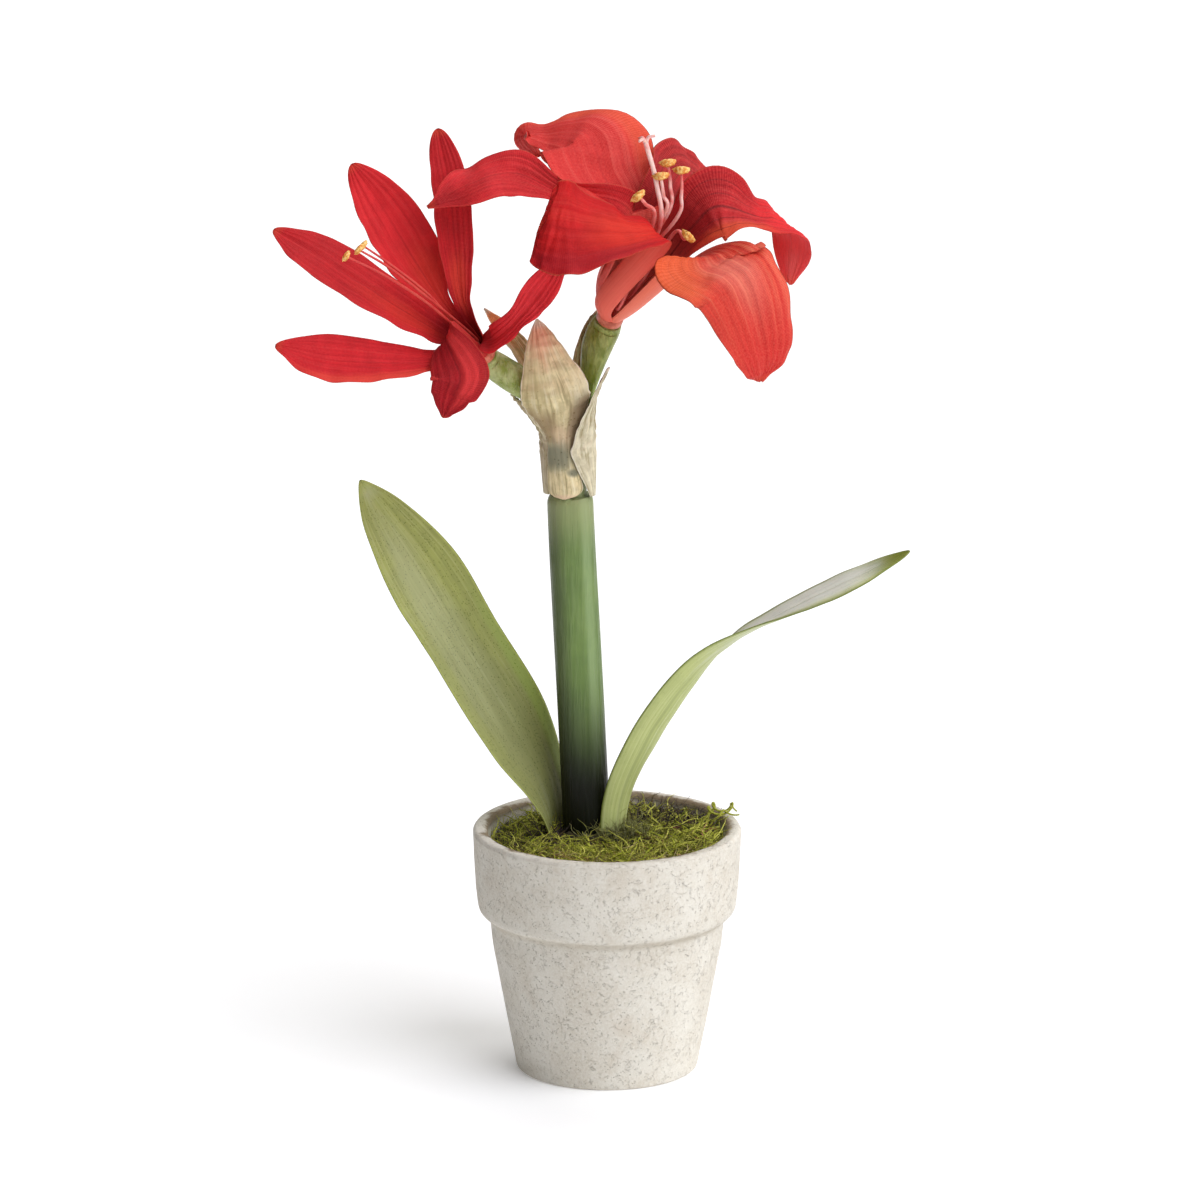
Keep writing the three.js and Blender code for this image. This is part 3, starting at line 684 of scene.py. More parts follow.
@dataclass(frozen=True)
class OvaryFinish(Finish):
    """A green flower stalk with glossy wrinkles near its bloom."""

    base: str
    low: str
    high: str
    bottom: float
    top: float

    def paint(self, g: Graph, shader: bpy.types.NodeInputs) -> None:
        """Feeds the shader."""
        place = g.place()
        z = g.split(place)[2]
        cloud = g.mask(MOTTLE, Vector=place, Scale=0.2)
        drawn = g.mask(MOTTLE, Vector=g.stretched(place, (1.0, 1.0, 0.18)), Scale=0.8, Low=0.45, High=0.6)
        tint = g.mix(g.remap(z, self.bottom, self.top), self.low, g.mix(cloud, self.base, self.high))
        tint = g.mix(drawn * 0.25, tint, self.high)
        self.feed(g, shader, tint, g.remap(drawn, 0.0, 1.0, 0.42, 0.28), g.bump(drawn, 0.25))
        shader["Specular IOR Level"].default_value = 0.38


@dataclass(frozen=True)
class StamenFinish(Finish):
    """Smooth tinted plastic with fine flecks."""

    base: str
    tip: str
    scale: float = 0.35
    glow: float = 0.3
    rise: tuple[float, float] = (0.0, 1.0)

    def paint(self, g: Graph, shader: bpy.types.NodeInputs) -> None:
        """Feeds the shader."""
        place = g.place()
        cloud = g.mask(MOTTLE, Vector=place, Scale=self.scale, Low=0.4, High=0.6)
        cloud = cloud * g.remap(g.split(place)[2], self.rise[0], self.rise[1], 0.15, 1.0)
        flecks = g.mask(SPECKLE, Vector=place, Scale=2.2, Share=0.4)
        tint = g.mix(flecks * 0.3, g.mix(cloud, self.base, self.tip), self.tip)
        self.feed(g, shader, tint, g.remap(cloud, 0.0, 1.0, 0.55, 0.35), g.bump(flecks, 0.12))
        shader["Subsurface Weight"].default_value = self.glow
        shader["Subsurface Scale"].default_value = MM


@dataclass(frozen=True)
class FloorFinish(Finish):
    """A plain pale floor."""

    glow: float = 0.18

    def paint(self, g: Graph, shader: bpy.types.NodeInputs) -> None:
        """Feeds the shader."""
        place = g.place()
        grain = g.noise(place, 0.02, 2.0)
        g.feed(shader["Base Color"], g.mix(grain, "#f6f6f6", "#fafafa"))
        g.feed(shader["Roughness"], g.remap(grain, 0.0, 1.0, 0.9, 1.0))
        shader["Specular IOR Level"].default_value = 0.0
        shader["Emission Color"].default_value = (1.0, 1.0, 1.0, 1.0)
        shader["Emission Strength"].default_value = self.glow


# ---------------------------------------------------------------- blades: petals, leaves and bracts

ROW_CROWDING = 1.15
THINNEST_HALF_WIDTH = 0.35
NIBBLES = 19
FLATTEST_BEND = 1e-3
BLUNT_FROM = 0.9
BLUNT_REACH = 0.1
RELIEF_FADE = 0.2
SPINE_STEP = 30


@dataclass(frozen=True)
class Relief:
    """Small shapes on a blade, in mm: a midrib groove, ribs, a frilled edge and crumpling."""

    midrib: float = 0.0
    ribs: float = 0.0
    rib_count: int = 7
    frill: float = 0.0
    frill_waves: float = 7.0
    crumple: float = 0.0
    crumple_size: float = 9.0
    nibble: float = 0.0
    starts: float = 0.25


@dataclass(frozen=True)
class Blade:
    """A thin curved blade that follows a spine, with values keyed along it."""

    name: str
    spine: tuple[Point, ...]
    across: Point
    half_width: tuple[float, ...]
    cup: tuple[float, ...] = (0,)
    twist: tuple[float, ...] = (0,)
    wave: tuple[float, ...] = (0,)
    waves: float = 2.0
    phases: tuple[float, float] = (0.0, 1.5)
    tip: float = 10.0
    foot: float = 0.0
    thickness: float = 0.8
    relief: Relief = Relief()
    seed: float = 0.0
    rows: int = 72
    columns: int = 28

    def surface(self) -> tuple[np.ndarray, np.ndarray, np.ndarray, np.ndarray]:
        """The middle surface as a grid of points, with t by row, q by column and the half width by row."""
        t = 1 - (1 - np.arange(self.rows + 1) / self.rows) ** ROW_CROWDING
        even = np.linspace(-1, 1, self.columns + 1)
        q = 0.6 * even + 0.4 * np.sin(even * math.pi / 2)
        centre, tangent, sideways = stations(self.spine, self.across, t)
        turn = np.radians(keyed(self.twist, t))[:, None]
        across = sideways * np.cos(turn) + np.cross(tangent, sideways) * np.sin(turn)
        inward = np.cross(tangent, across)
        rounded = np.sqrt(np.clip(1 - t**self.tip, 0, 1))
        if self.foot:
            rounded = rounded * np.sqrt(1 - np.clip(1 - t / self.foot, 0, 1) ** 3)
        half = np.maximum(keyed(self.half_width, t) * rounded, THINNEST_HALF_WIDTH)
        bend = np.radians(keyed(self.cup, t))
        bend = np.where(np.abs(bend) < FLATTEST_BEND, FLATTEST_BEND, bend)[:, None]
        side = np.where(q < 0, *self.phases)[None, :]
        swing = np.sin(2 * math.pi * self.waves * t[:, None] + side)
        rise = keyed(self.wave, t)[:, None] * np.abs(q) ** 2.5 * swing
        width = half[:, None] * self.nibbled(t, q)
        aside = width * np.sin(bend * q) / bend
        lift = width * (1 - np.cos(bend * q)) / bend + rise
        grid = centre[:, None] + across[:, None] * aside[..., None] + inward[:, None] * lift[..., None]
        return grid, t, q, half

    def nibbled(self, t: np.ndarray, q: np.ndarray) -> np.ndarray:
        """Uneven cut edges, as a share of the width."""
        left, right = (
            np.array([noise.noise(Vector((place * NIBBLES, self.seed, shift))) for place in t])
            for shift in (2.5, 7.5)
        )
        side = np.where(q[None, :] < 0, left[:, None], right[:, None])
        return 1 + self.relief.nibble * side * np.abs(q)[None, :] ** 6

    def raised(self, t: np.ndarray, q: np.ndarray, half: np.ndarray) -> np.ndarray:
        """Height of the relief over the middle surface."""
        shape, t, q = self.relief, t[:, None], q[None, :]
        inner = 1 - np.abs(q) ** 4
        height = -shape.midrib * np.exp(-((q / 0.09) ** 2))
        ribs = np.cos(math.pi * shape.rib_count * q + 1.2 * np.sin(5 * t + self.seed))
        height = height + shape.ribs * ribs * inner
        swing = 2 * math.pi * shape.frill_waves * t
        frills = np.where(q < 0, np.sin(swing + self.seed), np.sin(1.17 * swing + 2 * self.seed))
        height = height + shape.frill * np.abs(q) ** 5 * frills
        if shape.crumple:
            along = t * SPINE_STEP * len(self.spine) / shape.crumple_size
            beside = q * half[:, None] / shape.crumple_size
            places = np.stack([beside + 0 * t, along + 0 * q, np.full_like(beside, self.seed)], -1)
            crumpled = lumps(places.reshape(-1, 3), 1.0, self.seed)
            height = height + shape.crumple * crumpled.reshape(height.shape)
        return height * smoothstep(t, shape.starts, shape.starts + RELIEF_FADE)

    def thickened(self, t: np.ndarray, q: np.ndarray) -> np.ndarray:
        """Half the thickness at each point: thin at the edges and at the tip."""
        end = ((t - BLUNT_FROM) / BLUNT_REACH) ** 4
        blunt = np.where(t > BLUNT_FROM, np.sqrt(np.clip(1 - end, 0.04, 1)), 1)
        return self.thickness / 2 * (1 - np.abs(q) ** 8)[None, :, None] * blunt[:, None, None]

    def mesh(self) -> bpy.types.Mesh:
        """A closed mesh, thin at its edges, with its two UV maps and the back mask."""
        grid, t, q, half = self.surface()
        normal = unit(np.cross(np.gradient(grid, axis=0), np.gradient(grid, axis=1)))
        middle = grid + normal * self.raised(t, q, half)[..., None]
        thick = self.thickened(t, q)
        front, back = middle + normal * thick, middle - normal * thick
        inside = slice(self.columns - 1, 0, -1)
        points = np.concatenate([front, back[:, inside]], 1)
        u, v = np.broadcast_arrays((q[None, :] + 1) / 2, t[:, None])
        steps = np.linalg.norm(np.diff(grid[:, self.columns // 2], axis=0), axis=1)
        run = np.concatenate([[0], np.cumsum(steps)])
        x, y = np.broadcast_arrays(q[None, :] * half[:, None], run[:, None])
        mask = np.concatenate([0.5 * (np.abs(q) == 1) + 0 * v, np.ones((len(t), self.columns - 1))], 1)
        mesh = mesh_from(self.name, points.reshape(-1, 3), self.faces(points.shape[1]))
        for name, first, second in (("blade", u, v), ("cloth", x, y)):
            pairs = np.stack([first, second], -1)
            set_uv(mesh, name, np.concatenate([pairs, pairs[:, inside]], 1).reshape(-1, 2))
        set_attribute(mesh, "back", mask.ravel())
        return mesh

    def faces(self, ring: int) -> list[list[int]]:
        """The faces of a tube of flat rings, with its two ends closed."""
        faces = []
        for row in range(self.rows):
            for step in range(ring):
                a, b = row * ring + step, row * ring + (step + 1) % ring
                faces.append([a, a + ring, b + ring, b])
        for start, turned in ((0, False), (self.rows * ring, True)):
            for step in range(self.columns):
                behind, before = (ring - step) % ring, ring - step - 1
                corners = list(dict.fromkeys([step, step + 1, before, behind]))
                faces.append([start + corner for corner in (corners[::-1] if turned else corners)])
        return faces


# ---------------------------------------------------------------- rods

ROD_ACROSS = (0.31, 0.7, 0.2)


@dataclass(frozen=True)
class Rod:
    """A closed round rod along rings of given centres and radii."""

    name: str
    centres: np.ndarray
    radii: np.ndarray
    sides: int = 48
    lobes: Callable[[np.ndarray, np.ndarray], np.ndarray] | None = None

    def mesh(self) -> bpy.types.Mesh:
        """The rod's mesh."""
        tangents = unit(np.gradient(self.centres, axis=0))
        angle = np.arange(self.sides) * 2 * math.pi / self.sides
        current = np.array(ROD_ACROSS)
        rings = []
        for row, (centre, tangent) in enumerate(zip(self.centres, tangents, strict=True)):
            current = unit(current - tangent * current.dot(tangent))
            second = np.cross(tangent, current)
            radius = self.radii[row] * np.ones(self.sides)
            if self.lobes:
                radius = radius * self.lobes(angle, np.full(self.sides, row / (len(self.centres) - 1)))
            around = np.outer(np.cos(angle), current) + np.outer(np.sin(angle), second)
            rings.append(centre + radius[:, None] * around)
        points = np.vstack([*rings, self.centres[:1], self.centres[-1:]])
        return mesh_from(self.name, points, capped_rings(len(rings), self.sides))


# ---------------------------------------------------------------- geometry node trees

RIM_INSIDE_UP_TO = 91.0
RIM_FREE_FROM = 94.0
STRAND_REACH = 43.0
STRAND_REACH_OVER_RIM = 47.5
STRAND_LOWEST = 84.0


def geometry_tree(name: str, inputs: dict[str, str]) -> tuple[Graph, dict[str, Value]]:
    """Starts a geometry node tree.

    Args:
        name: The tree's name.
        inputs: The socket type of each named input between Geometry and Material.

    Returns:
        The graph, and the group's inputs by name.
    """
    tree = bpy.data.node_groups.new(name, "GeometryNodeTree")
    kinds = {"Geometry": "NodeSocketGeometry", **inputs, "Material": "NodeSocketMaterial"}
    for key, kind in kinds.items():
        tree.interface.new_socket(name=key, in_out="INPUT", socket_type=kind)
    tree.interface.new_socket(name="Geometry", in_out="OUTPUT", socket_type="NodeSocketGeometry")
    graph = Graph(tree)
    return graph, dict(zip(kinds, graph.add("NodeGroupInput")))


def finish_tree(g: Graph, geometry: Value, material: Value) -> bpy.types.NodeTree:
    """Ends a tree in real, smooth, painted geometry."""
    smooth = g.geo("SetShadeSmooth", {0: g.geo("RealizeInstances", {0: geometry})})
    g.add("NodeGroupOutput", {0: g.geo("SetMaterial", {"Geometry": smooth, "Material": material})})
    return g.tree


def named(g: Graph, name: str, kind: str = "FLOAT") -> Value:
    """A named attribute of the geometry."""
    return g.add("GeometryNodeInputNamedAttribute", {"Name": name}, data_type=kind)[0]


def chance(g: Graph, low: float, high: float, **inputs: Any) -> Value:
    """A random number from low to high."""
    return g.add("FunctionNodeRandomValue", {2: low, 3: high, **inputs}, data_type="FLOAT")[1]


def tubes(g: Graph, curve: Value, sides: Any, radius: Value) -> Value:
    """Closed tubes round a curve."""
    ring = g.geo("CurvePrimitiveCircle", {"Resolution": sides, "Radius": 1.0})
    return g.geo("CurveToMesh", {"Curve": curve, "Profile Curve": ring, "Scale": radius, "Fill Caps": True})


def fibre_tree() -> bpy.types.NodeTree:
    """Curled strands that grow from a surface where its share attribute lets them."""
    kinds = dict.fromkeys(("Density", "Length", "Radius", "Curl", "Lean", "Droop"), "NodeSocketFloat")
    g, i = geometry_tree("Fibres", {**kinds, "Seed": "NodeSocketInt"})
    density = i["Density"] * named(g, "share")
    beds = {"Mesh": i["Geometry"], "Density": density, "Seed": i["Seed"]}
    roots, _, facing = g.add("GeometryNodeDistributePointsOnFaces", beds)
    line = g.geo("CurvePrimitiveLine", {"Start": FLAT, "End": (0.0, 0.0, 1.0)})
    line = g.geo("ResampleCurve", {"Curve": line, "Count": 9})
    leans = {0: (1.0, -0.3, -6.3), 1: (1.5, 0.3, 6.3), "Seed": i["Seed"]}
    lean = g.add("FunctionNodeRandomValue", leans, data_type="FLOAT_VECTOR")[0]
    tilt = g.vector("SCALE", {0: lean, "Scale": i["Lean"]})[0]
    turned = g.add("FunctionNodeRotateRotation", {0: facing, 1: tilt})[0]
    size = chance(g, 0.45, 1.3, Seed=i["Seed"]) * i["Length"]
    planted = {"Points": roots, "Instance": line, "Rotation": turned, "Scale": size}
    strands = g.geo("RealizeInstances", {0: g.geo("InstanceOnPoints", planted)})
    owner = g.geo("CurveOfPoint")
    tone = chance(g, 0.0, 1.0, ID=owner, Seed=i["Seed"])
    strands = g.geo("StoreNamedAttribute", {"Geometry": strands, "Name": "tone", "Value": tone})
    share = g.geo("SplineParameter")
    swirls = {"Vector": g.geo("InputPosition"), "W": owner * 0.17, "Scale": 130.0, "Detail": 1.0}
    swirl = g.add("ShaderNodeTexNoise", swirls, noise_dimensions="4D")[1]
    swirl = g.stretched(swirl, (2.0, 2.0, 1.2), (-1.0, -1.0, -0.6))
    swirl = g.vector("SCALE", {0: swirl, "Scale": share * i["Curl"]})[0]
    fall = g.joined(z=share * share * i["Droop"] * -1.0)
    strands = g.geo("SetPosition", {"Geometry": strands, "Offset": g.vector("ADD", {0: swirl, 1: fall})[0]})
    x, y, z = g.split(g.geo("InputPosition"))
    away = g.math("SQRT", x * x + y * y)
    reach = (STRAND_REACH * MM, STRAND_REACH_OVER_RIM * MM)
    pull = g.math("MINIMUM", g.remap(z, RIM_INSIDE_UP_TO * MM, RIM_FREE_FROM * MM, *reach) / away, 1.0)
    kept = g.joined(x * pull, y * pull, g.math("MAXIMUM", z, STRAND_LOWEST * MM))
    strands = g.geo("SetPosition", {"Geometry": strands, "Position": kept})
    width = i["Radius"] * g.remap(share, 0.3, 1.0, 1.0, 0.35)
    return finish_tree(g, tubes(g, strands, 3, width), i["Material"])


def tube_tree() -> bpy.types.NodeTree:
    """Tubes along the edges of a mesh, with the radius that each vertex holds."""
    g, i = geometry_tree("Tubes", {"Sides": "NodeSocketInt"})
    path = g.geo("MeshToCurve", {"Mesh": i["Geometry"]})
    return finish_tree(g, tubes(g, path, i["Sides"], named(g, "radius")), i["Material"])


def anther_tree() -> bpy.types.NodeTree:
    """A bent bean on each point, laid along the point's direction."""
    g, i = geometry_tree("Anthers", {"Length": "NodeSocketFloat", "Width": "NodeSocketFloat"})
    bean = g.geo("MeshUVSphere", {"Segments": 24, "Rings": 16, "Radius": 1.0})
    x, y, z = g.split(g.geo("InputPosition"))
    bow = z * z * 0.7 - 0.35
    groove = g.remap(abs(x), 0.4, 0.0) * g.remap(y, 0.2, -0.8) * 0.3
    bean = g.geo("SetPosition", {"Geometry": bean, "Offset": g.joined(y=bow + groove)})
    lump = g.add("ShaderNodeTexNoise", {"Scale": 2.4, "Detail": 2.0})[1]
    bean = g.geo("SetPosition", {"Geometry": bean, "Offset": g.stretched(lump, (0.7,) * 3, (-0.35,) * 3)})
    size = g.joined(i["Width"], i["Width"], i["Length"])
    along = named(g, "along", "FLOAT_VECTOR")
    turn = g.add("FunctionNodeAlignRotationToVector", {"Vector": along}, axis="Z")[0]
    points = g.geo("MeshToPoints", {"Mesh": i["Geometry"]})
    beans = g.geo("InstanceOnPoints", {"Points": points, "Instance": bean, "Rotation": turn, "Scale": size})
    return finish_tree(g, beans, i["Material"])


def grown(
    mesh: bpy.types.Mesh, tree: bpy.types.NodeTree, name: str, finish: Finish, inputs: dict[str, Any]
) -> bpy.types.Mesh:
    """Runs a geometry node tree on a mesh.

    Args:
        mesh: What the tree starts from.
        tree: The tree.
        name: The new mesh's name.
        finish: The finish of what grows.
        inputs: A value for each of the tree's other named inputs.

    Returns:
        The plain mesh that comes out.
    """
    holder = bpy.data.objects.new(name + "_seed", mesh)
    bpy.context.scene.collection.objects.link(holder)
    modifier = holder.modifiers.new("grow", "NODES")
    modifier.node_group = tree
    values = {**inputs, "Material": finish.material()}
    for item in tree.interface.items_tree:
        if item.item_type == "SOCKET" and item.in_out == "INPUT" and item.name in values:
            modifier[item.identifier] = values[item.name]
    graph = bpy.context.evaluated_depsgraph_get()
    made = bpy.data.meshes.new_from_object(holder.evaluated_get(graph))
    made.name = name
    bpy.data.objects.remove(holder)
    return made


def polylines(name: str, paths: Sequence[tuple[np.ndarray, np.ndarray]]) -> bpy.types.Mesh:
    """Open paths as mesh edges with a radius on each vertex, all given in mm."""
    mesh = bpy.data.meshes.new(name)
    points, edges, radii = [], [], []
    for path, radius in paths:
        start = len(points)
        points.extend((path * MM).tolist())
        radii.extend((np.broadcast_to(radius, len(path)) * MM).tolist())
        edges.extend([start + step, start + step + 1] for step in range(len(path) - 1))
    mesh.from_pydata(points, edges, [])
    set_attribute(mesh, "radius", np.array(radii))
    return mesh


# ---------------------------------------------------------------- pot, soil and moss

INNER_RIM_RADIUS = 44.0
MOSS_BASE = 81.3
MOSS_EDGE_HEIGHT = 85.6
MOSS_MOUND = 5.6
MOSS_GAP = 1.4
SQUARE_METRE = 1e6


@dataclass(frozen=True)
class Pot:
    """The moulded pot with its rim band, soft step and tapered body."""

    profile: tuple[tuple[float, float], ...] = (
        (0.0, 0.6), (14.0, 0.5), (28.0, 0.3), (32.2, 0.05), (33.4, 0.5), (33.9, 1.5), (35.2, 7.5),
        (37.6, 20.0),
        (40.0, 33.3), (42.0, 44.0), (42.75, 48.2), (43.2, 52.5), (43.6, 56.2), (44.1, 58.1), (45.5, 59.5),
        (47.0, 60.6), (47.9, 62.0), (48.35, 64.4), (49.0, 71.0), (49.5, 80.0), (49.95, 89.8), (49.9, 91.1),
        (49.5, 91.9), (48.8, 92.3), (47.4, 92.4), (46.0, 92.3), (45.2, 91.8), (44.5, 90.8), (44.0, 88.0),
        (40.0, 66.7), (34.4, 36.8), (29.6, 11.0), (28.4, 8.4), (26.0, 8.0), (14.0, 8.0), (0.0, 8.0),
    )
    sides: int = 288
    between: int = 5

    def build(self) -> None:
        """Makes the piece."""
        t = np.linspace(0, 1, (len(self.profile) - 1) * self.between + 1)
        line = catmull_rom(self.profile, t)
        line[:, 0] = np.maximum(line[:, 0], 0)
        angle = np.arange(self.sides) * 2 * math.pi / self.sides
        radius, height = line[1:-1, :1], line[1:-1, 1:]
        rings = np.stack([radius * np.cos(angle), radius * np.sin(angle), height + 0 * angle], -1)
        points = rings.reshape(-1, 3)
        outward = unit(points * [1, 1, 0])
        soft = 0.12 * lumps(points, 14, 3.0) + 0.07 * lumps(points, 3.2, 8.0) - 0.17
        points = points + outward * (soft * smoothstep(points[:, 2], 1, 6))[:, None]
        points = np.vstack([points, [0, 0, line[0, 1]], [0, 0, line[-1, 1]]])
        mesh = mesh_from("pot_body", points, capped_rings(len(line) - 2, self.sides))
        add_piece(mesh, PulpFinish("pulp"), "pot")


class Region(Enum):
    """Where on the moss a layer of strands grows."""

    ALL = "all"
    PATCHES = "patches"
    BACK = "back"
    FRONT = "front"
    LEAF_FOOT = "leaf_foot"
    RIGHT = "right"


@dataclass(frozen=True)
class MossLayer:
    """One kind of strand in the moss: density in strands a square mm, and sizes in mm."""

    finish: FibreFinish
    region: Region
    density: float
    length: float
    radius: float
    curl: float
    lean: float
    droop: float
    seed: int

    def inputs(self) -> dict[str, float | int]:
        """The inputs of the fibre tree."""
        return {
            "Density": self.density * SQUARE_METRE, "Length": self.length * MM, "Radius": self.radius * MM,
            "Curl": self.curl * MM, "Lean": self.lean, "Droop": self.droop * MM, "Seed": self.seed,
        }


@dataclass(frozen=True)
class MossMat:
    """The moss: a low uneven mound, layers of curled strands and loose strands over the rim."""

    layers: tuple[MossLayer, ...]
    rings: int = 56
    sides: int = 160

    def height(self, x: np.ndarray, y: np.ndarray) -> np.ndarray:
        """Height of the mound."""
        near_stem = np.exp(-((x + 4) ** 2 + (y - 2) ** 2) / 380)
        back, front = 1.4 * smoothstep(x + y, 5, 40), 2.6 * smoothstep(-y, 12, 40)
        hummocks = np.sin(0.43 * x + 1.1) * np.cos(0.39 * y) + 0.6 * np.sin(0.9 * x - 0.7 * y)
        return MOSS_EDGE_HEIGHT + MOSS_MOUND * near_stem + back + front + 0.7 * hummocks

    def share(self, region: Region, points: np.ndarray) -> np.ndarray:
        """How much of a layer grows at each point."""
        x, y = points[:, 0], points[:, 1]
        from_stem = np.hypot(x + 5, y - 4)
        if region is Region.ALL:
            return smoothstep(from_stem, 11, 19)
        if region is Region.PATCHES:
            clear = 1 - 0.9 * smoothstep(y, 4, 24) * smoothstep(x, 0, 10)
            return smoothstep(lumps(points, 9, 5.0), -0.3, 0.1) * smoothstep(from_stem, 13, 22) * clear
        if region is Region.BACK:
            left = np.exp(-((x + 26) ** 2 + (y + 6) ** 2) / 70)
            broken = smoothstep(lumps(points, 11, 1.0), -0.4, 0.1)
            return smoothstep(y, 0, 18) * smoothstep(x, -6, 10) * broken + left
        if region is Region.FRONT:
            return smoothstep(-y, 16, 36) * smoothstep(lumps(points, 8, 9.0), -0.3, 0.2)
        if region is Region.RIGHT:
            return smoothstep(x, 14, 30) * smoothstep(lumps(points, 6, 4.0), -0.2, 0.2)
        return np.exp(-((x - 6) ** 2 + (y + 4) ** 2) / 60)

    def top(self) -> tuple[np.ndarray, list[list[int]]]:
        """The mound's upper surface."""
        reach = INNER_RIM_RADIUS - MOSS_GAP
        ring, side = np.meshgrid(np.arange(1, self.rings + 1), np.arange(self.sides), indexing="ij")
        radius, angle = reach * ring / self.rings, side * 2 * math.pi / self.sides
        x, y = (radius * np.cos(angle)).ravel(), (radius * np.sin(angle)).ravel()
        points = np.stack([x, y, self.height(x, y)], -1)
        centre = np.array([[0, 0, self.height(np.zeros(1), np.zeros(1))[0]]])
        points[:, 2] += 0.5 * lumps(points, 2.4, 2.0) + 0.3 * lumps(points, 1.1, 6.0)
        faces = []
        for step in range(self.sides):
            after = (step + 1) % self.sides
            faces.append([0, 1 + step, 1 + after])
            for row in range(self.rings - 1):
                a, b = 1 + row * self.sides + step, 1 + row * self.sides + after
                faces.append([a, a + self.sides, b + self.sides, b])
        return np.vstack([centre, points]), faces

    def build(self) -> None:
        """Makes the mound and the strands."""
        points, faces = self.top()
        self.build_mound(points, faces)
        tree = fibre_tree()
        for layer in self.layers:
            bed = mesh_from(layer.finish.name + "_bed", points, faces)
            set_attribute(bed, "share", self.share(layer.region, points))
            strands = grown(bed, tree, layer.finish.name, layer.finish, layer.inputs())
            add_piece(strands, layer.finish, "moss")
        self.build_loops()

    def build_mound(self, points: np.ndarray, faces: list[list[int]]) -> None:
        """The ground under the strands, closed below."""
        rim = len(points) - self.sides
        lower = points[rim:] * [1, 1, 0] + [0, 0, MOSS_BASE]
        closed = np.vstack([points, lower, [[0, 0, MOSS_BASE]]])
        walls = list(faces)
        low, last = len(points), len(closed) - 1
        for step in range(self.sides):
            after = (step + 1) % self.sides
            walls.append([rim + step, low + step, low + after, rim + after])
            walls.append([last, low + after, low + step])
        mound = mesh_from("moss_mound", closed, walls)
        set_attribute(mound, "tone", 0.5 + 0.7 * lumps(closed, 2.0, 4.0))
        ground = FibreFinish("moss_ground", "#1a1208", "#3a3216", "#565620", ground=85.0, top=93.0)
        add_piece(mound, ground, "moss")

    def build_loops(self) -> None:
        """The loose strands that curl over the rim at the right."""
        t = np.linspace(0, 1, 90)
        paths = []
        for start, bend, end, size, turns in (
            ((33, 11, 85), (38.5, 12, 94.5), (50, 13.5, 95.5), 1.9, 2.6),
            ((34, 8, 86), (40, 10, 93.2), (49, 12, 94.6), 1.1, 1.8),
            ((36, 14, 86), (39, 15, 94.8), (45.5, 15.5, 95.2), 1.5, 2.2),
        ):
            line = catmull_rom((start, bend, end), t)
            turn = 2 * math.pi * turns * t
            grow = size * smoothstep(t, 0.3, 0.55)
            line = line + np.stack([grow * np.cos(turn), 0.5 * grow * np.sin(turn), grow * np.sin(turn)], -1)
            paths.append((line, keyed((0.6, 0.5, 0.42, 0.3), t)))
        finish = FibreFinish("moss_loop", "#6d6420", "#a4a33a", "#c6c24e", "#b4b83e", ground=84.0, top=90.0)
        mesh = grown(polylines("loops", paths), tube_tree(), "moss_rim_loop", finish, {"Sides": 8})
        add_piece(mesh, finish, "moss")


MOSS = MossMat(
    layers=(
        MossLayer(
            FibreFinish("moss_bright", "#5a5c16", "#b8be2e", "#f2f070", "#98a024"),
            Region.PATCHES, 0.42, 10.0, 0.34, 9.0, 0.95, 1.0, 11,
        ),
        MossLayer(
            FibreFinish("moss_olive", "#2c2a10", "#8e8c32", "#d8d45c", "#6a4a24"),
            Region.ALL, 0.36, 10.0, 0.22, 8.0, 0.95, 1.0, 23,
        ),
        MossLayer(
            FibreFinish("moss_dark", "#0f0b06", "#241b12", "#54443a", "#7c6c50"),
            Region.BACK, 0.7, 8.0, 0.24, 8.0, 0.8, 0.5, 37,
        ),
        MossLayer(
            FibreFinish("moss_straw", "#5a4526", "#a88448", "#e6d29c", "#8a3a1c"),
            Region.FRONT, 0.35, 10.0, 0.2, 8.0, 1.0, 1.0, 41,
        ),
        MossLayer(
            FibreFinish("moss_fuzz", "#4e4e24", "#8f904a", "#c8c68a", "#6a6438", 88.0, 96.0),
            Region.LEAF_FOOT, 1.2, 8.0, 0.18, 6.0, 0.35, 0.3, 53,
        ),
        MossLayer(
            FibreFinish("moss_rosy", "#6c3424", "#b8604a", "#d8a088", "#d08070"),
            Region.RIGHT, 0.1, 8.0, 0.26, 7.0, 0.95, 1.0, 61,
        ),
    )
)


def paint_soil() -> None:
    """Gives the soil, which stays as its CAD node, its finish."""
    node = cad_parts["soil"]
    node.data.materials.clear()
    node.data.materials.append(SoilFinish("soil").material())


# ---------------------------------------------------------------- stem

NECK_RADIUS = 6.2


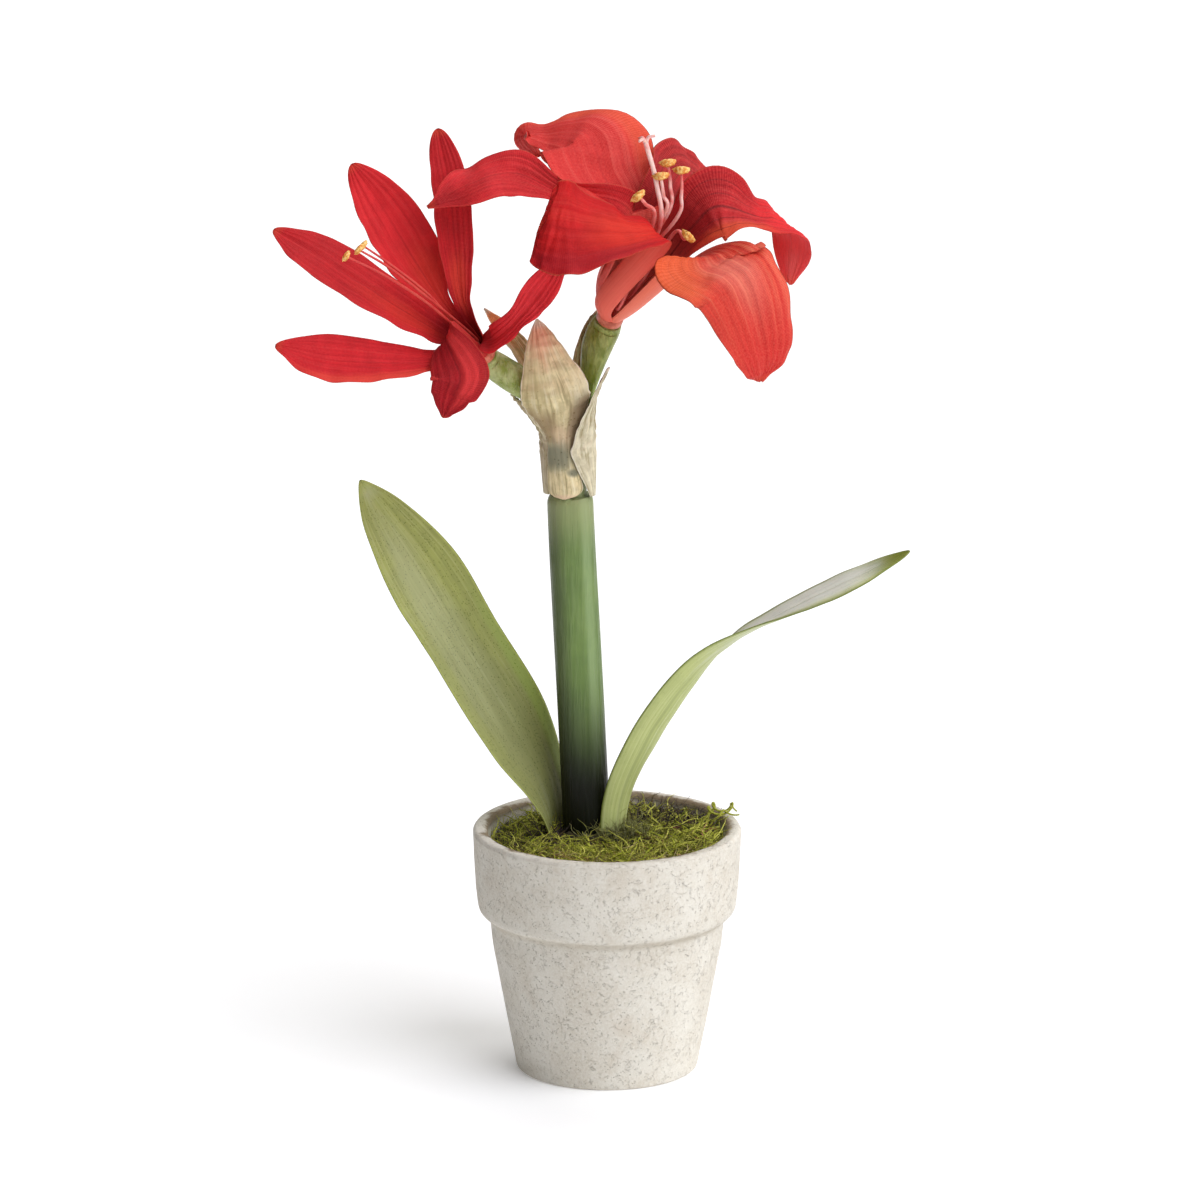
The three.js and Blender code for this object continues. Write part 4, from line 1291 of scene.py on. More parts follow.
@dataclass(frozen=True)
class Stem:
    """The flower stem with the neck that the bracts wrap."""

    axis: tuple[Point, ...] = (
        (-6.6, 5.2, 40), (-7.6, 5, 90), (-9.3, 5, 130), (-11.8, 4.5, 178), (-12.9, 4, 199), (-13.7, 4, 219),
    )
    neck: tuple[Point, ...] = ((-13.7, 4, 219), (-13.6, 4, 240))
    radii: tuple[float, ...] = (8.9, 8.85, 8.75, 8.6)
    rows: int = 150
    sides: int = 72

    def fluting(self, angle: np.ndarray, share: np.ndarray) -> np.ndarray:
        """Faint lengthwise ridges that turn slowly up the stem."""
        turned = angle + 0.5 * share
        broad, narrow = 0.008 * np.cos(2 * turned), 0.004 * np.cos(9 * turned)
        return 1 + broad + narrow + 0.002 * np.cos(23 * turned) - 0.01

    def build(self) -> None:
        """Makes the piece: the stem, its rounded shoulder and its neck."""
        t = np.linspace(0, 1, self.rows)
        centres, radii = catmull_rom(self.axis, t), keyed(self.radii, t)
        radii[-6:] -= 1.1 * np.linspace(0, 1, 6) ** 2.5
        fall = radii[-1] + (NECK_RADIUS - radii[-1]) * smoothstep(np.linspace(0, 1, 8), 0, 1)
        rise = centres[-1] + np.outer(np.linspace(0.01, 0.3, 8), [0, 0, 1])
        neck = catmull_rom(self.neck, np.linspace(0, 1, 16))[2:]
        around = np.concatenate([radii, fall, np.full(len(neck), NECK_RADIUS)])
        rod = Rod("stem_scape", np.vstack([centres, rise, neck]), around, self.sides, self.fluting)
        add_piece(rod.mesh(), StemFinish("stem_green"), "stem")


# ---------------------------------------------------------------- leaves


def leaf(
    side: str, spine: tuple, across: Point, half_width: tuple, cup: tuple, twist: tuple, seed: float,
    colours: tuple[str, ...], **looks: Any,
) -> tuple[str, Blade, BladeFinish]:
    """A leaf's node, blade and printed finish."""
    relief = Relief(midrib=0.5, ribs=0.12, rib_count=8, crumple=0.35, crumple_size=14, starts=0.02)
    blade = Blade(
        f"leaf_{side}_strap", spine, across, half_width, cup, twist,
        thickness=1.1, relief=relief, seed=seed, rows=120,
    )
    finish = BladeFinish(
        f"leaf_{side}_print", Slot.LEAF, *colours,
        back_share=0.5, dark_streaks=0.35, light_streaks=0.5, vein_share=0.12, cover=Cover.PRINT, **looks,
    )
    return f"leaf_{side}", blade, finish


LEAVES = (
    leaf(
        "left",
        (
            (-21, 6, 74), (-21.2, 6, 99.5), (-34.2, 6.5, 127.5), (-53.5, 9, 160.5), (-68.6, 10, 186.5),
            (-82.7, 10, 209), (-91.2, 9, 223),
        ),
        (-0.1, -1, 0), (8.4, 12.8, 16.6, 15.5, 15.6, 10.2, 4.1), (43, 16, 19, 22, 18, 9),
        (0, -24, -48, -57, -61, -67),
        2.0, ("#8d943e", "#566024", "#b4b676", "#6f8238", "#b3bb5c"),
        rim_share=0.6, rim_width=0.035, streaks=26, run=2.0, veins=24, midrib_share=0.3, midrib_width=0.02,
        pitch=0.75, cover_share=0.35, speckle_share=0.5, roughness=0.42, depth=0.16,
        spots=(
            # A painted sheen: a pale silvery patch along the crease.
            Spot(0.62, 0.52, 0.3, 0.42, "#a9ad8c", 0.6),
            # Painted shade: the leaf darkens towards its base.
            Spot(0.5, 0.08, 1.2, 0.52, "#4a4f26", 0.8),
            Spot(0.05, 0.3, 0.14, 0.3, "#86a234", 0.8),
            Spot(0.5, 1.0, 0.5, 0.12, "#b6b89a", 0.6),
        ),
    ),
    leaf(
        "right",
        (
            (3.2, -1.4, 74), (5.4, -1, 102), (14.5, -2, 124.5), (29, -4, 148), (44.5, -5, 164),
            (65.5, -6, 176.5), (87, -6, 187.5), (111.6, -5, 199.7),
        ),
        (0.6, 0.8, -0.1), (7, 8.1, 8.7, 8.7, 10.1, 11.1, 10.3, 5.3), (49, 44, 37, 26, 2, -2),
        (-1, -8, -8, 22, 42, 56),
        5.0, ("#b9c26c", "#7f8c3c", "#d8dda4", "#8a9a4a", "#6f7d28"),
        rim_share=0.9, rim_width=0.055, streaks=22, run=2.2, veins=20, midrib_share=0.75, midrib_width=0.03,
        pitch=0.7, cover_share=0.25, speckle_share=0.4, roughness=0.38, depth=0.14,
        spots=(
            # A painted reflection: the upper half goes near white where it mirrors the bright surround.
            Spot(0.55, 0.76, 0.65, 0.3, "#e4e4e8", 0.92),
            Spot(0.02, 0.75, 0.1, 0.25, "#6d7433", 0.8),
            Spot(0.98, 0.7, 0.12, 0.3, "#5f682c", 0.9),
            Spot(0.42, 0.28, 0.05, 0.4, "#737d3c", 0.7, 0.2),
            Spot(0.5, 1.0, 0.9, 0.06, "#b58f3a", 1.0),
        ),
    ),
)


# ---------------------------------------------------------------- bracts


def bract(
    place: str, spine: tuple, across: Point, half_width: tuple, cup: tuple, twist: tuple, seed: float,
    base: str, *spots: Spot, streaks: float = 11, foot: float = 0.0,
) -> tuple[str, Blade, BladeFinish]:
    """A bract's node, blade and dry papery finish."""
    relief = Relief(ribs=0.25, rib_count=5, crumple=0.55, crumple_size=7, nibble=0.05, starts=0.15)
    blade = Blade(
        f"bract_{place}_leaf", spine, across, half_width, cup, twist,
        tip=12, foot=foot, thickness=0.7, relief=relief, seed=seed, rows=110, columns=30,
    )
    finish = BladeFinish(
        f"bract_{place}_paper", Slot.BRACT, base, "#87764a", "#f6ecca", "#b9a97b", "#f6eed8",
        back_share=0.04, rim_share=0.85, rim_width=0.035, blotch=0.22, blotch_share=0.45, streaks=streaks,
        run=2.6, dark_streaks=0.8, light_streaks=0.7, veins=22, vein_share=0.15, midrib_share=0.1,
        midrib_width=0.03, cover=Cover.PRINT, pitch=1.2, cover_share=0.12, speckle_share=0.35,
        roughness=0.68, specular=0.2, depth=0.25, spots=spots,
    )
    return f"bract_{place}", blade, finish


BRACTS = (
    bract(
        "front",
        (
            (-15.8, -3.9, 219.2), (-16.7, -3.9, 230), (-17.4, -4.4, 242), (-18.3, -7.2, 252.5),
            (-19.6, -10.3, 261.6), (-23.4, -9.5, 277.2), (-25.8, -5, 287.7),
        ),
        (0.97, -0.26, 0), (8.5, 6.6, 6.2, 12.4, 13.1, 7.8, 3.3), (50, 42, 44, 39, 21, 20, 20),
        (0, 0, 5, 15, 13, 15, 15),
        1.0, "#e8d6a6",
        Spot(0.5, 1.0, 0.6, 0.24, "#ee9c7c", 0.85),
        # Painted shade at the waist, left and right; the right patch is the painted shadow of the right
        # bract.
        Spot(0.16, 0.41, 0.44, 0.15, "#79592f", 0.85),
        Spot(0.9, 0.43, 0.3, 0.26, "#5f3f1c", 0.95),
        Spot(0.55, 0.34, 0.3, 0.1, "#c7a489", 0.5),
        Spot(0.35, 0.24, 0.7, 0.1, "#585f4e", 0.92),
        Spot(0.82, 0.15, 0.2, 0.03, "#555c4e", 0.9),
        Spot(0.5, 0.0, 0.8, 0.03, "#e0b89c", 0.7),
        Spot(0.2, 0.66, 0.3, 0.2, "#a3935c", 0.5),
        foot=0.07,
    ),
    bract(
        "right",
        ((-4.8, 0.8, 219.4), (-4.8, 0.8, 236), (-5.4, -1.4, 246.8), (-3.9, -4, 258.6), (0.7, -5, 269.6)),
        (0.34, 0.94, 0), (2.6, 10.8, 7.9, 3.9, 1.3), (30, 66, 51, 28, 17), (0, 0, -5, 6, 5), 2.0,
        "#e0dac0", Spot(0.5, 0.95, 0.6, 0.2, "#8c7f4e", 0.6), streaks=8,
    ),
    bract(
        "left",
        (
            (-23.2, 5.9, 219.4), (-24.4, 5.9, 233.5), (-25.1, 5.6, 243.1), (-31, 3.2, 251.9),
            (-35.3, 2.4, 257.5),
        ),
        (0, -1, 0), (5.2, 7.3, 7.2, 3.4, 1.2), (50, 62, 54, 36), (0, 0, 0, 7, 14), 3.0,
        "#bfb094", Spot(0.4, 0.2, 0.6, 0.3, "#9c8f7c", 0.6),
    ),
    bract(
        "back_left",
        (
            (-17.2, 11, 219.4), (-17.8, 11.4, 237), (-22.6, 12.5, 256), (-32.2, 11.5, 273),
            (-38.3, 11, 280.3), (-45.2, 11, 287.8),
        ),
        (-0.88, -0.47, 0), (3.2, 3.4, 5.5, 3.8, 3.1, 1.2), (23, 24, 20), (0, 5, -15, -25), 4.0,
        "#d0b884", Spot(0.5, 0.95, 0.9, 0.35, "#f09a5c", 1.0),
    ),
    bract(
        "back_right",
        (
            (-10.4, 11.5, 219.4), (-11, 12.2, 241), (-8.2, 12, 260), (-8.4, 12, 271), (-7.5, 10.5, 280.4),
            (-3.7, 9, 287.4),
        ),
        (-0.88, 0.47, 0), (3.2, 3.2, 5.6, 3.6, 1.5, 1.2), (23, 24, 20), (0, 0, 20, 25), 5.0,
        "#b8a67a",
    ),
)


def build_blades(blades: Iterable[tuple[str, Blade, BladeFinish]]) -> None:
    """Makes a piece of each blade, for the CAD node named with it."""
    for node, blade, finish in blades:
        add_piece(blade.mesh(), finish, node)


# ---------------------------------------------------------------- blooms

CUP_GAP = 0.3
CUP_HEIGHT = 4.0
KNOB_FOOT = CUP_HEIGHT + CUP_GAP
KNOB_TOP = 9.0
TEPAL_LAYER = 0.2
CLAW_CUP = (60, 50)
ANTHER_LENGTH = 3.1
ANTHER_WIDTH = 1.45
FRILLED = Relief(midrib=0.5, ribs=0.14, rib_count=7, frill=0.7, frill_waves=6, crumple=0.6)
RIPPLED = Relief(midrib=0.4, ribs=0.28, rib_count=9, frill=0.6, frill_waves=8, crumple=0.6, crumple_size=7)


def beside(axis: np.ndarray, clock: float) -> np.ndarray:
    """The direction across an axis at a clock angle in degrees, where 0 is to the right."""
    right, turn = unit(np.array([1.0, 0, 0]) - axis * axis[0]), math.radians(clock)
    return right * math.cos(turn) + np.cross(axis, right) * math.sin(turn)


def swollen(angle: np.ndarray, share: np.ndarray) -> np.ndarray:
    """The three soft lobes and fine wrinkles of an ovary, as a share of its radius."""
    swell = smoothstep(share, 0.3, 0.7) * (1 - smoothstep(share, 0.85, 1))
    return 1 + swell * (0.045 * np.cos(3 * angle + 0.5) + 0.012 * np.cos(11 * angle + 9 * share)) - 0.03


@dataclass(frozen=True)
class Tepal:
    """One petal: where it leaves the tube, its shape past the foot and the throat, and its finish."""

    clock: float
    spine: tuple[Point, ...]
    half_width: tuple[float, ...]
    cup: tuple[float, ...]
    twist: tuple[float, ...]
    finish: BladeFinish
    wave: tuple[float, ...] = (0,)
    waves: float = 2.0
    phases: tuple[float, float] = (0.0, 1.5)
    relief: Relief = Relief(midrib=0.45, ribs=0.14, frill=0.35, crumple=0.5)


@dataclass(frozen=True)
class Bloom:
    """A bloom on its stalk, with its stamens. Claw and throat are a radius and a height."""

    side: str
    base: Point
    axis: Point
    stalk: tuple[Point, ...]
    stalk_radius: tuple[float, ...]
    stalk_finish: OvaryFinish
    cup_radius: float
    claw: tuple[float, float]
    claw_width: float
    throat: tuple[float, float]
    tepals: tuple[Tepal, ...]
    filaments: tuple[tuple[Point, ...], ...]
    filament_tints: tuple[str, str]
    filament_size: float
    has_style: bool
    spread: float = 3.0

    def direction(self) -> np.ndarray:
        """The way that the bloom faces."""
        return unit(np.array(self.axis, float))

    def at(self, clock: float, radius: float, height: float) -> np.ndarray:
        """A point beside the axis."""
        return np.array(self.base) + self.direction() * height + beside(self.direction(), clock) * radius

    def add(self, mesh: bpy.types.Mesh, finish: Finish, node: str, slot: Slot) -> None:
        """Adds a piece for one of the bloom's nodes."""
        add_piece(mesh, finish, f"{node}_{self.side}")

    def build(self) -> None:
        """Makes the stalk, the petals and the stamens."""
        self.build_stalk()
        self.build_cup()
        for index, tepal in enumerate(self.tepals):
            self.build_tepal(index, tepal)
        self.build_stamens()

    def build_stalk(self) -> None:
        """The stalk that swells into a three-lobed ovary."""
        points = [*self.stalk, tuple(np.array(self.base) - 4 * self.direction()), self.base]
        t = np.linspace(0, 1, 90)
        centres, radii = catmull_rom(points, t), keyed(self.stalk_radius, t)
        rod = Rod(f"pedicel_{self.side}_stalk", centres, radii, 60, swollen)
        self.add(rod.mesh(), self.stalk_finish, "pedicel", Slot.OVARY)

    def build_cup(self) -> None:
        """The short base that holds the petals."""
        heights = np.array([CUP_GAP, CUP_GAP + 0.4, 1.6, 2.8, CUP_HEIGHT - 0.3, CUP_HEIGHT])
        swell = np.array([0.9, 0.98, 1.0, 1.0, 0.97, 0.88])
        centres = np.array(self.base) + np.outer(heights, self.direction())
        finish = StamenFinish(f"cup_{self.side}", "#b5553c", "#d8745a", 0.3, 0.0)
        rod = Rod(f"bloom_{self.side}_cup", centres, self.cup_radius * swell)
        self.add(rod.mesh(), finish, "bloom", Slot.TEPAL)

    def build_tepal(self, index: int, tepal: Tepal) -> None:
        """One petal, on its side of the tube."""
        layer = TEPAL_LAYER if index % 2 == 0 else -TEPAL_LAYER
        foot = self.at(tepal.clock, self.claw[0] + layer / 2, self.claw[1])
        neck = self.at(tepal.clock, self.throat[0] + layer, self.throat[1])
        blade = Blade(
            f"bloom_{self.side}_tepal_{index + 1}", (tuple(foot), tuple(neck), *tepal.spine),
            tuple(np.cross(self.direction(), beside(self.direction(), tepal.clock))),
            (self.claw_width, *tepal.half_width), (*CLAW_CUP, *tepal.cup), tepal.twist,
            tepal.wave, tepal.waves, tepal.phases, relief=tepal.relief, seed=index + 1.5, rows=96, columns=36,
        )
        self.add(blade.mesh(), tepal.finish, "bloom", Slot.TEPAL)

    def build_stamens(self) -> None:
        """The filaments on their knob, the anthers, and the style if there is one."""
        knob = [self.at(0, 0, height) for height in np.linspace(KNOB_FOOT, KNOB_TOP, 6)]
        paths: list[tuple[np.ndarray, np.ndarray]] = [(np.array(knob), np.linspace(1.7, 1.3, 6))]
        heads, along = [], []
        t = np.linspace(0, 1, 44)
        for index, ends in enumerate(self.filaments):
            clock = 360 * (index + 0.5) / len(self.filaments)
            lower = max(0.0, -math.sin(math.radians(clock)))
            start = self.at(clock, 0.8, KNOB_TOP - 2)
            rise = self.at(clock, 1.6 + self.spread * lower, self.throat[1] + 2)
            end = np.array(ends[-1], float)
            away = unit(end - np.array(ends[-2], float))
            line = catmull_rom([tuple(start), tuple(rise), *ends], t)
            if self.has_style and index == 0:
                paths.append((line, keyed((0.7, 0.8, 0.9, 0.9), t)))
                paths.extend(self.stigma(end, away))
            else:
                paths.append((line, self.filament_size * keyed((0.55, 0.7, 0.7, 0.5), t)))
                heads.append(end)
                along.append(unit(np.cross(away, [0, 1, 0])))
        pink = StamenFinish(f"filament_{self.side}", *self.filament_tints, 0.08, 0.25, (315.0, 345.0))
        lines = polylines("paths", paths)
        mesh = grown(lines, tube_tree(), f"stamens_{self.side}_filaments", pink, {"Sides": 12})
        self.add(mesh, pink, "stamens", Slot.STAMEN)
        self.build_anthers(heads, along)

    def build_anthers(self, heads: list[np.ndarray], along: list[np.ndarray]) -> None:
        """The anthers, each at a filament's end."""
        dots = bpy.data.meshes.new("heads")
        dots.from_pydata((np.array(heads) * MM).tolist(), [], [])
        set_attribute(dots, "along", np.array(along))
        pollen = StamenFinish(f"anther_{self.side}", "#e08a2e", "#fad07a", 0.9, 0.05)
        sizes = {
            "Length": ANTHER_LENGTH * self.filament_size * MM,
            "Width": ANTHER_WIDTH * self.filament_size * MM,
        }
        mesh = grown(dots, anther_tree(), f"stamens_{self.side}_anthers", pollen, sizes)
        self.add(mesh, pollen, "stamens", Slot.STAMEN)

    def stigma(self, end: np.ndarray, away: np.ndarray) -> list[tuple[np.ndarray, np.ndarray]]:
        """The three lobes at the end of the style."""
        lobes = []
        for clock in (0, 120, 240):
            outward = beside(away, clock)
            knots = [end, end + outward * 1.6 + away * 1.6, end + outward * 4 + away * 1.5]
            lobes.append((catmull_rom(knots, np.linspace(0, 1, 12)), np.linspace(0.85, 0.5, 12)))
        return lobes


def red_cloth(
    name: str, base: str, deep: str, light: str, back: str, seed: float, **more: Any
) -> BladeFinish:
    """Woven red petal cloth."""
    usual = {"rim_share": 0.4, "rim_width": 0.02, "subsurface": 0.05, "specular": 0.12, "rim": "#dc5a40"}
    return BladeFinish(f"tepal_{name}", Slot.TEPAL, base, deep, light, back, seed=seed, **{**usual, **more})


TUBE_GLOW = Spot(0.5, 0.1, 1.2, 0.24, "#ff937e", 0.82, 0.4)
TUBE_SHADE = Spot(0.5, 0.26, 0.8, 0.2, "#7e0c18", 0.75, 0.3)

ROSE = red_cloth(
    "rose", "#da3230", "#b01a22", "#ee6a5e", "#e07a74", 1.0, dark_streaks=0.3, light_streaks=0.35, veins=20,
    vein_share=0.25, cover_share=0.32,
    spots=(TUBE_GLOW, Spot(0.05, 0.6, 0.2, 0.3, "#f0603c", 0.7), Spot(0.5, 0.95, 0.7, 0.1, "#e8706c", 0.5)),
)
CRIMSON = red_cloth(
    "crimson", "#bc2228", "#5a0810", "#dc5a50", "#d04a42", 2.0, dark_streaks=0.35, light_streaks=0.3, veins=5,
    vein_share=0.55, midrib_share=0.7, midrib_width=0.03, cover_share=0.28,
    spots=(TUBE_GLOW, Spot(0.5, 0.38, 0.7, 0.2, "#7c0c16", 0.75), Spot(0.6, 0.95, 0.5, 0.2, "#dc4440", 0.6)),
)
CURLED = red_cloth(
    "curled", "#cc2028", "#5c0812", "#e25650", "#d4303a", 3.0, dark_streaks=0.35, light_streaks=0.35, veins=6,
    vein_share=0.6, midrib_share=0.8, midrib_width=0.035, cover_share=0.28,
    spots=(
        TUBE_GLOW, Spot(0.5, 0.38, 0.6, 0.16, "#8c0e18", 0.8), Spot(0.08, 0.52, 0.22, 0.25, "#ea5a34", 0.8),
        Spot(0.5, 0.86, 0.8, 0.24, "#f6222c", 0.85), Spot(0.45, 0.95, 0.3, 0.06, "#f0a098", 0.4),
    ),
)
STRIPED = red_cloth(
    "striped", "#d4342a", "#a81a1c", "#f28668", "#f0705e", 4.0, dark_streaks=0.7, light_streaks=0.55,
    streaks=18, run=0.8, veins=16, vein_share=0.3, midrib_share=0.3, roughness=0.42,
    spots=(
        # Spot(0.55, 0.62) is a painted highlight.
        TUBE_GLOW, Spot(0.1, 0.42, 0.34, 0.22, "#ea6430", 0.85), Spot(0.55, 0.62, 0.25, 0.2, "#f3a08c", 0.3),
        Spot(0.6, 0.96, 0.8, 0.3, "#cc1a22", 0.9),
    ),
)
CREASED = red_cloth(
    "creased", "#c4181c", "#8e0e16", "#d83c30", "#f0705e", 5.0, dark_streaks=0.22, light_streaks=0.3,
    streaks=10, run=0.7, veins=10, vein_share=0.1, midrib_share=0.15, cover_share=0.15,
    spots=(TUBE_GLOW, Spot(0.5, 0.5, 0.4, 0.16, "#e03a28", 0.6), Spot(0.9, 0.7, 0.2, 0.3, "#8e1020", 0.6)),
)
FOLDED = red_cloth(
    "folded", "#da2630", "#8c1018", "#e45a50", "#b41a20", 6.0, dark_streaks=0.5, light_streaks=0.3, veins=12,
    vein_share=0.3, midrib_share=0.6, spots=(TUBE_GLOW, Spot(0.5, 0.98, 0.6, 0.14, "#8e1422", 0.6)),
)


def left_cloth(place: int, base: str, deep: str, *spots: Spot) -> BladeFinish:
    """The deeper cloth of the left bloom's petals, by their place."""
    return red_cloth(
        f"left_{place}", base, deep, "#dc4842", "#b01a20", place + 6.0, dark_streaks=0.3, light_streaks=0.2,
        veins=12, vein_share=0.2, midrib_share=0.5, cover_share=0.2, spots=(TUBE_SHADE, *spots),
    )


BLOOM_RIGHT = Bloom(
    side="right",
    base=(0.5, 1, 285.5),
    axis=(0.3, -0.47, 0.83),
    stalk=((-10.2, 4, 240.3), (-10.2, 4, 243), (-9, 3.6, 253), (-6.3, 3.2, 264), (-3.6, 3, 275)),
    stalk_radius=(2.7, 2.8, 3, 3.9, 5.8, 6, 5.2),
    stalk_finish=OvaryFinish("ovary_right", "#74802a", "#8ca534", "#a3ab5e", 252, 276),
    cup_radius=5,
    claw=(3.2, 1.5),
    claw_width=3.6,
    throat=(10, 16),
    tepals=(
        Tepal(
            132,
            (
                (7, -13, 326.5), (-1.5, -2, 341.5), (-7, 8, 354.5), (-22.5, 15, 353), (-30.5, 17, 351.5),
                (-24.5, 12, 345),
            ),
            (7.4, 13.5, 20, 20.5, 10.7, 8, 5), (33, -17, 14, 1), (0, 0, -18, -22, -17, -32), ROSE,
            (0, 0, 0.6, 1.2, 1), 2.2, (0.5, 2.2), FRILLED,
        ),
        Tepal(
            76, ((22.5, -8, 329), (29, 4, 337.5), (37, 14, 334.6), (43.5, 22, 328)),
            (7.4, 14.5, 17.8, 12.5, 4), (37, 21, 32), (0, 0, -1, 10, -6, 2), CRIMSON,
            (0, 0, 1, 1), 2.5, relief=FRILLED,
        ),
        Tepal(
            22, ((30.5, -16, 324), (40, -18, 333), (54.5, -14, 328.5), (67, -8, 322.5), (67, -2, 300)),
            (7.4, 10.5, 15.2, 9.2, 14.6, 5.3), (32, 12, -10), (0, 0, 16, 23, -11, -36, -72), CURLED,
            (0, 0, 1, 1.2, 0.8), 2.0, (1, 0), FRILLED,
        ),
        Tepal(
            312, ((33, -27, 315.5), (38.5, -37, 315.5), (49, -44, 310.5), (56, -45, 287), (55.8, -42, 273.5)),
            (6.2, 11.5, 23.8, 20.9, 14.6, 9.8), (0, -8, -6), (0, 0, -5, -5, 16, -4), STRIPED,
            (0, 0, 1, 2.4, 1.8), 2.4, (1.7, 0.3), RIPPLED,
        ),
        Tepal(
            226,
            (
                (17.6, -28, 323.6), (8.2, -40, 328.6), (-11.3, -46, 331), (-20.7, -46, 332.7),
                (-24.2, -42, 331.8),
            ),
            (5.4, 6.5, 10.4, 18.8, 18.9, 18.8), (4, 2, 11), (0, 0, -1, -17, -33, -35), CREASED,
            (0, 0, 0.6, 0.8, 0.6), 1.6, (0.2, 1.9), RIPPLED,
        ),
        Tepal(
            152, ((6, -14, 328), (-17, -13, 337), (-34, -15, 345), (-50.5, -19, 341.5), (-65.5, -20, 333.5)),
            (8.4, 10.4, 4.8, 9.5, 9.2, 2.9), (34, -4, 12), (6, 6, -20, -33, 8, -84), FOLDED,
            (0, 0, 0.8, 1.2, 1), 2.2, (0.9, 0.1),
        ),
    ),
    filaments=(
        ((19, -21, 326), (18, -21, 342), (14, -20, 357.5)),
        ((21, -20, 331), (20.5, -21, 338), (19.5, -22, 345.5)),
        ((22, -19, 330.5), (23, -18, 341), (22, -18, 349.5)),
        ((24.5, -20, 328), (27, -20, 338), (27, -19, 347)),
        ((17, -21.5, 328.5), (13.8, -23.8, 335.5), (11.2, -25, 338.6)),
        ((24, -21, 323.5), (28, -24.5, 322.5), (29.5, -26.5, 324)),
    ),
    filament_tints=("#e2625c", "#f9d3cb"),
    filament_size=1.0,
    has_style=True,
    spread=5.6,
)

BLOOM_LEFT = Bloom(
    side="left",
    base=(-44.5, -4, 273.5),
    axis=(-0.44, -0.59, 0.68),
    stalk=((-16.6, 4, 240.3), (-16.6, 4, 243), (-23, 3, 254.5), (-32, 0.5, 262.5), (-38.5, -1, 267.5)),
    stalk_radius=(2.7, 2.8, 3.8, 5.6, 5.6, 5, 4.4),
    stalk_finish=OvaryFinish("ovary_left", "#7c8a30", "#90a53a", "#b0b678", 250, 266),
    cup_radius=4.4,
    claw=(3, 1.5),
    claw_width=2.4,
    throat=(4.4, 10),
    tepals=(
        Tepal(
            175, ((-64.5, -19, 288), (-82.5, -28, 302), (-104, -26, 315.5), (-121.5, -20, 325)),
            (2.8, 7.3, 9.3, 10.8, 6.3), (21, 15, 12), (0, 0, 1, -6, -1, -4),
            left_cloth(1, "#c01c24", "#90101a", Spot(0.6, 0.5, 0.3, 0.2, "#dc3c30", 0.6)),
        ),
        Tepal(
            113, ((-60, -14, 296), (-70, -6, 309.5), (-81.5, 0, 327.5), (-93.5, 4, 344)),
            (2.8, 3.6, 11, 11.3, 6.7), (25, 31, 8), (0, 0, 22, 7),
            left_cloth(2, "#e22a32", "#aa161e", Spot(0.4, 0.5, 0.4, 0.2, "#e0402f", 0.6)),
        ),
        Tepal(
            66, ((-53, -15.5, 298), (-55.5, -9, 316.5), (-57.5, -3.5, 337.5), (-62, 3, 357.5)),
            (2.8, 3.8, 6.8, 7.2, 6.4), (28, 21, 10), (0, 0, 46, 47, 43),
            left_cloth(3, "#c41c26", "#8c1018", Spot(0.5, 0.45, 0.4, 0.15, "#e04632", 0.6)),
        ),
        Tepal(
            228, ((-62.5, -24, 276.5), (-81.5, -34, 278.5), (-103, -38, 281), (-120.5, -40, 286.5)),
            (2.8, 5.2, 8.4, 10, 5.1), (26, 22, 8), (0, 0, -27, -41, -48),
            left_cloth(4, "#d6242e", "#a0141e", Spot(0.95, 0.6, 0.2, 0.35, "#e24a3c", 0.8)),
        ),
        Tepal(
            283, ((-58.5, -26.5, 285.5), (-53.5, -42, 275.5), (-56.5, -47, 268.5), (-59.5, -49, 261.5)),
            (2.8, 7.3, 11, 9.2, 4.4), (16, 14, 14), (0, 0, 24, -22, -12, 0),
            # Painted light and shade: dark colours for the shaded left half, the bright spot for the lit
            # right half.
            left_cloth(5, "#b21a26", "#6c0c16", Spot(0.72, 0.6, 0.22, 0.4, "#ee4244", 0.85)),
        ),
        Tepal(
            338, ((-41, -18, 283), (-32.5, -24, 292.5), (-23.5, -26, 304.5), (-11, -24, 322)),
            # Petal 6's colours are lifted as painted light, to undo the shade that falls on it.
            (2.8, 6, 4.6, 6.4, 2), (30, 20, 10), (0, 0, 26, 51, 49), left_cloth(6, "#ff3c46", "#d02a32"),
        ),
    ),
    filaments=(
        ((-64.5, -27, 300.5), (-79, -36, 314.5), (-90, -41, 322.5)),
        ((-64, -26, 301), (-78, -35, 315), (-88.5, -39, 323.5)),
        ((-65, -28, 299), (-80.5, -38, 312), (-94.5, -43, 320.5)),
    ),
    filament_tints=("#c8302e", "#e8886c"),
    filament_size=0.72,
    has_style=False,
)


# ---------------------------------------------------------------- stage

FLOOR_REACH = 8000.0


@dataclass(frozen=True)
class Light:
    """A broad, far lamp whose light is as strong at every place."""

    name: str
    towards: Point
    power: float
    width: float
    tint: Point = (1.0, 1.0, 1.0)

    def build(self) -> None:
        """Makes the lamp."""
        lamp = bpy.data.lights.new(self.name, "SUN")
        lamp.energy, lamp.color, lamp.angle = self.power, self.tint, math.radians(self.width)
        holder = bpy.data.objects.new(self.name, lamp)
        bpy.context.scene.collection.objects.link(holder)
        holder.location = self.towards
        holder.rotation_euler = (-Vector(self.towards)).to_track_quat("-Z", "Y").to_euler()


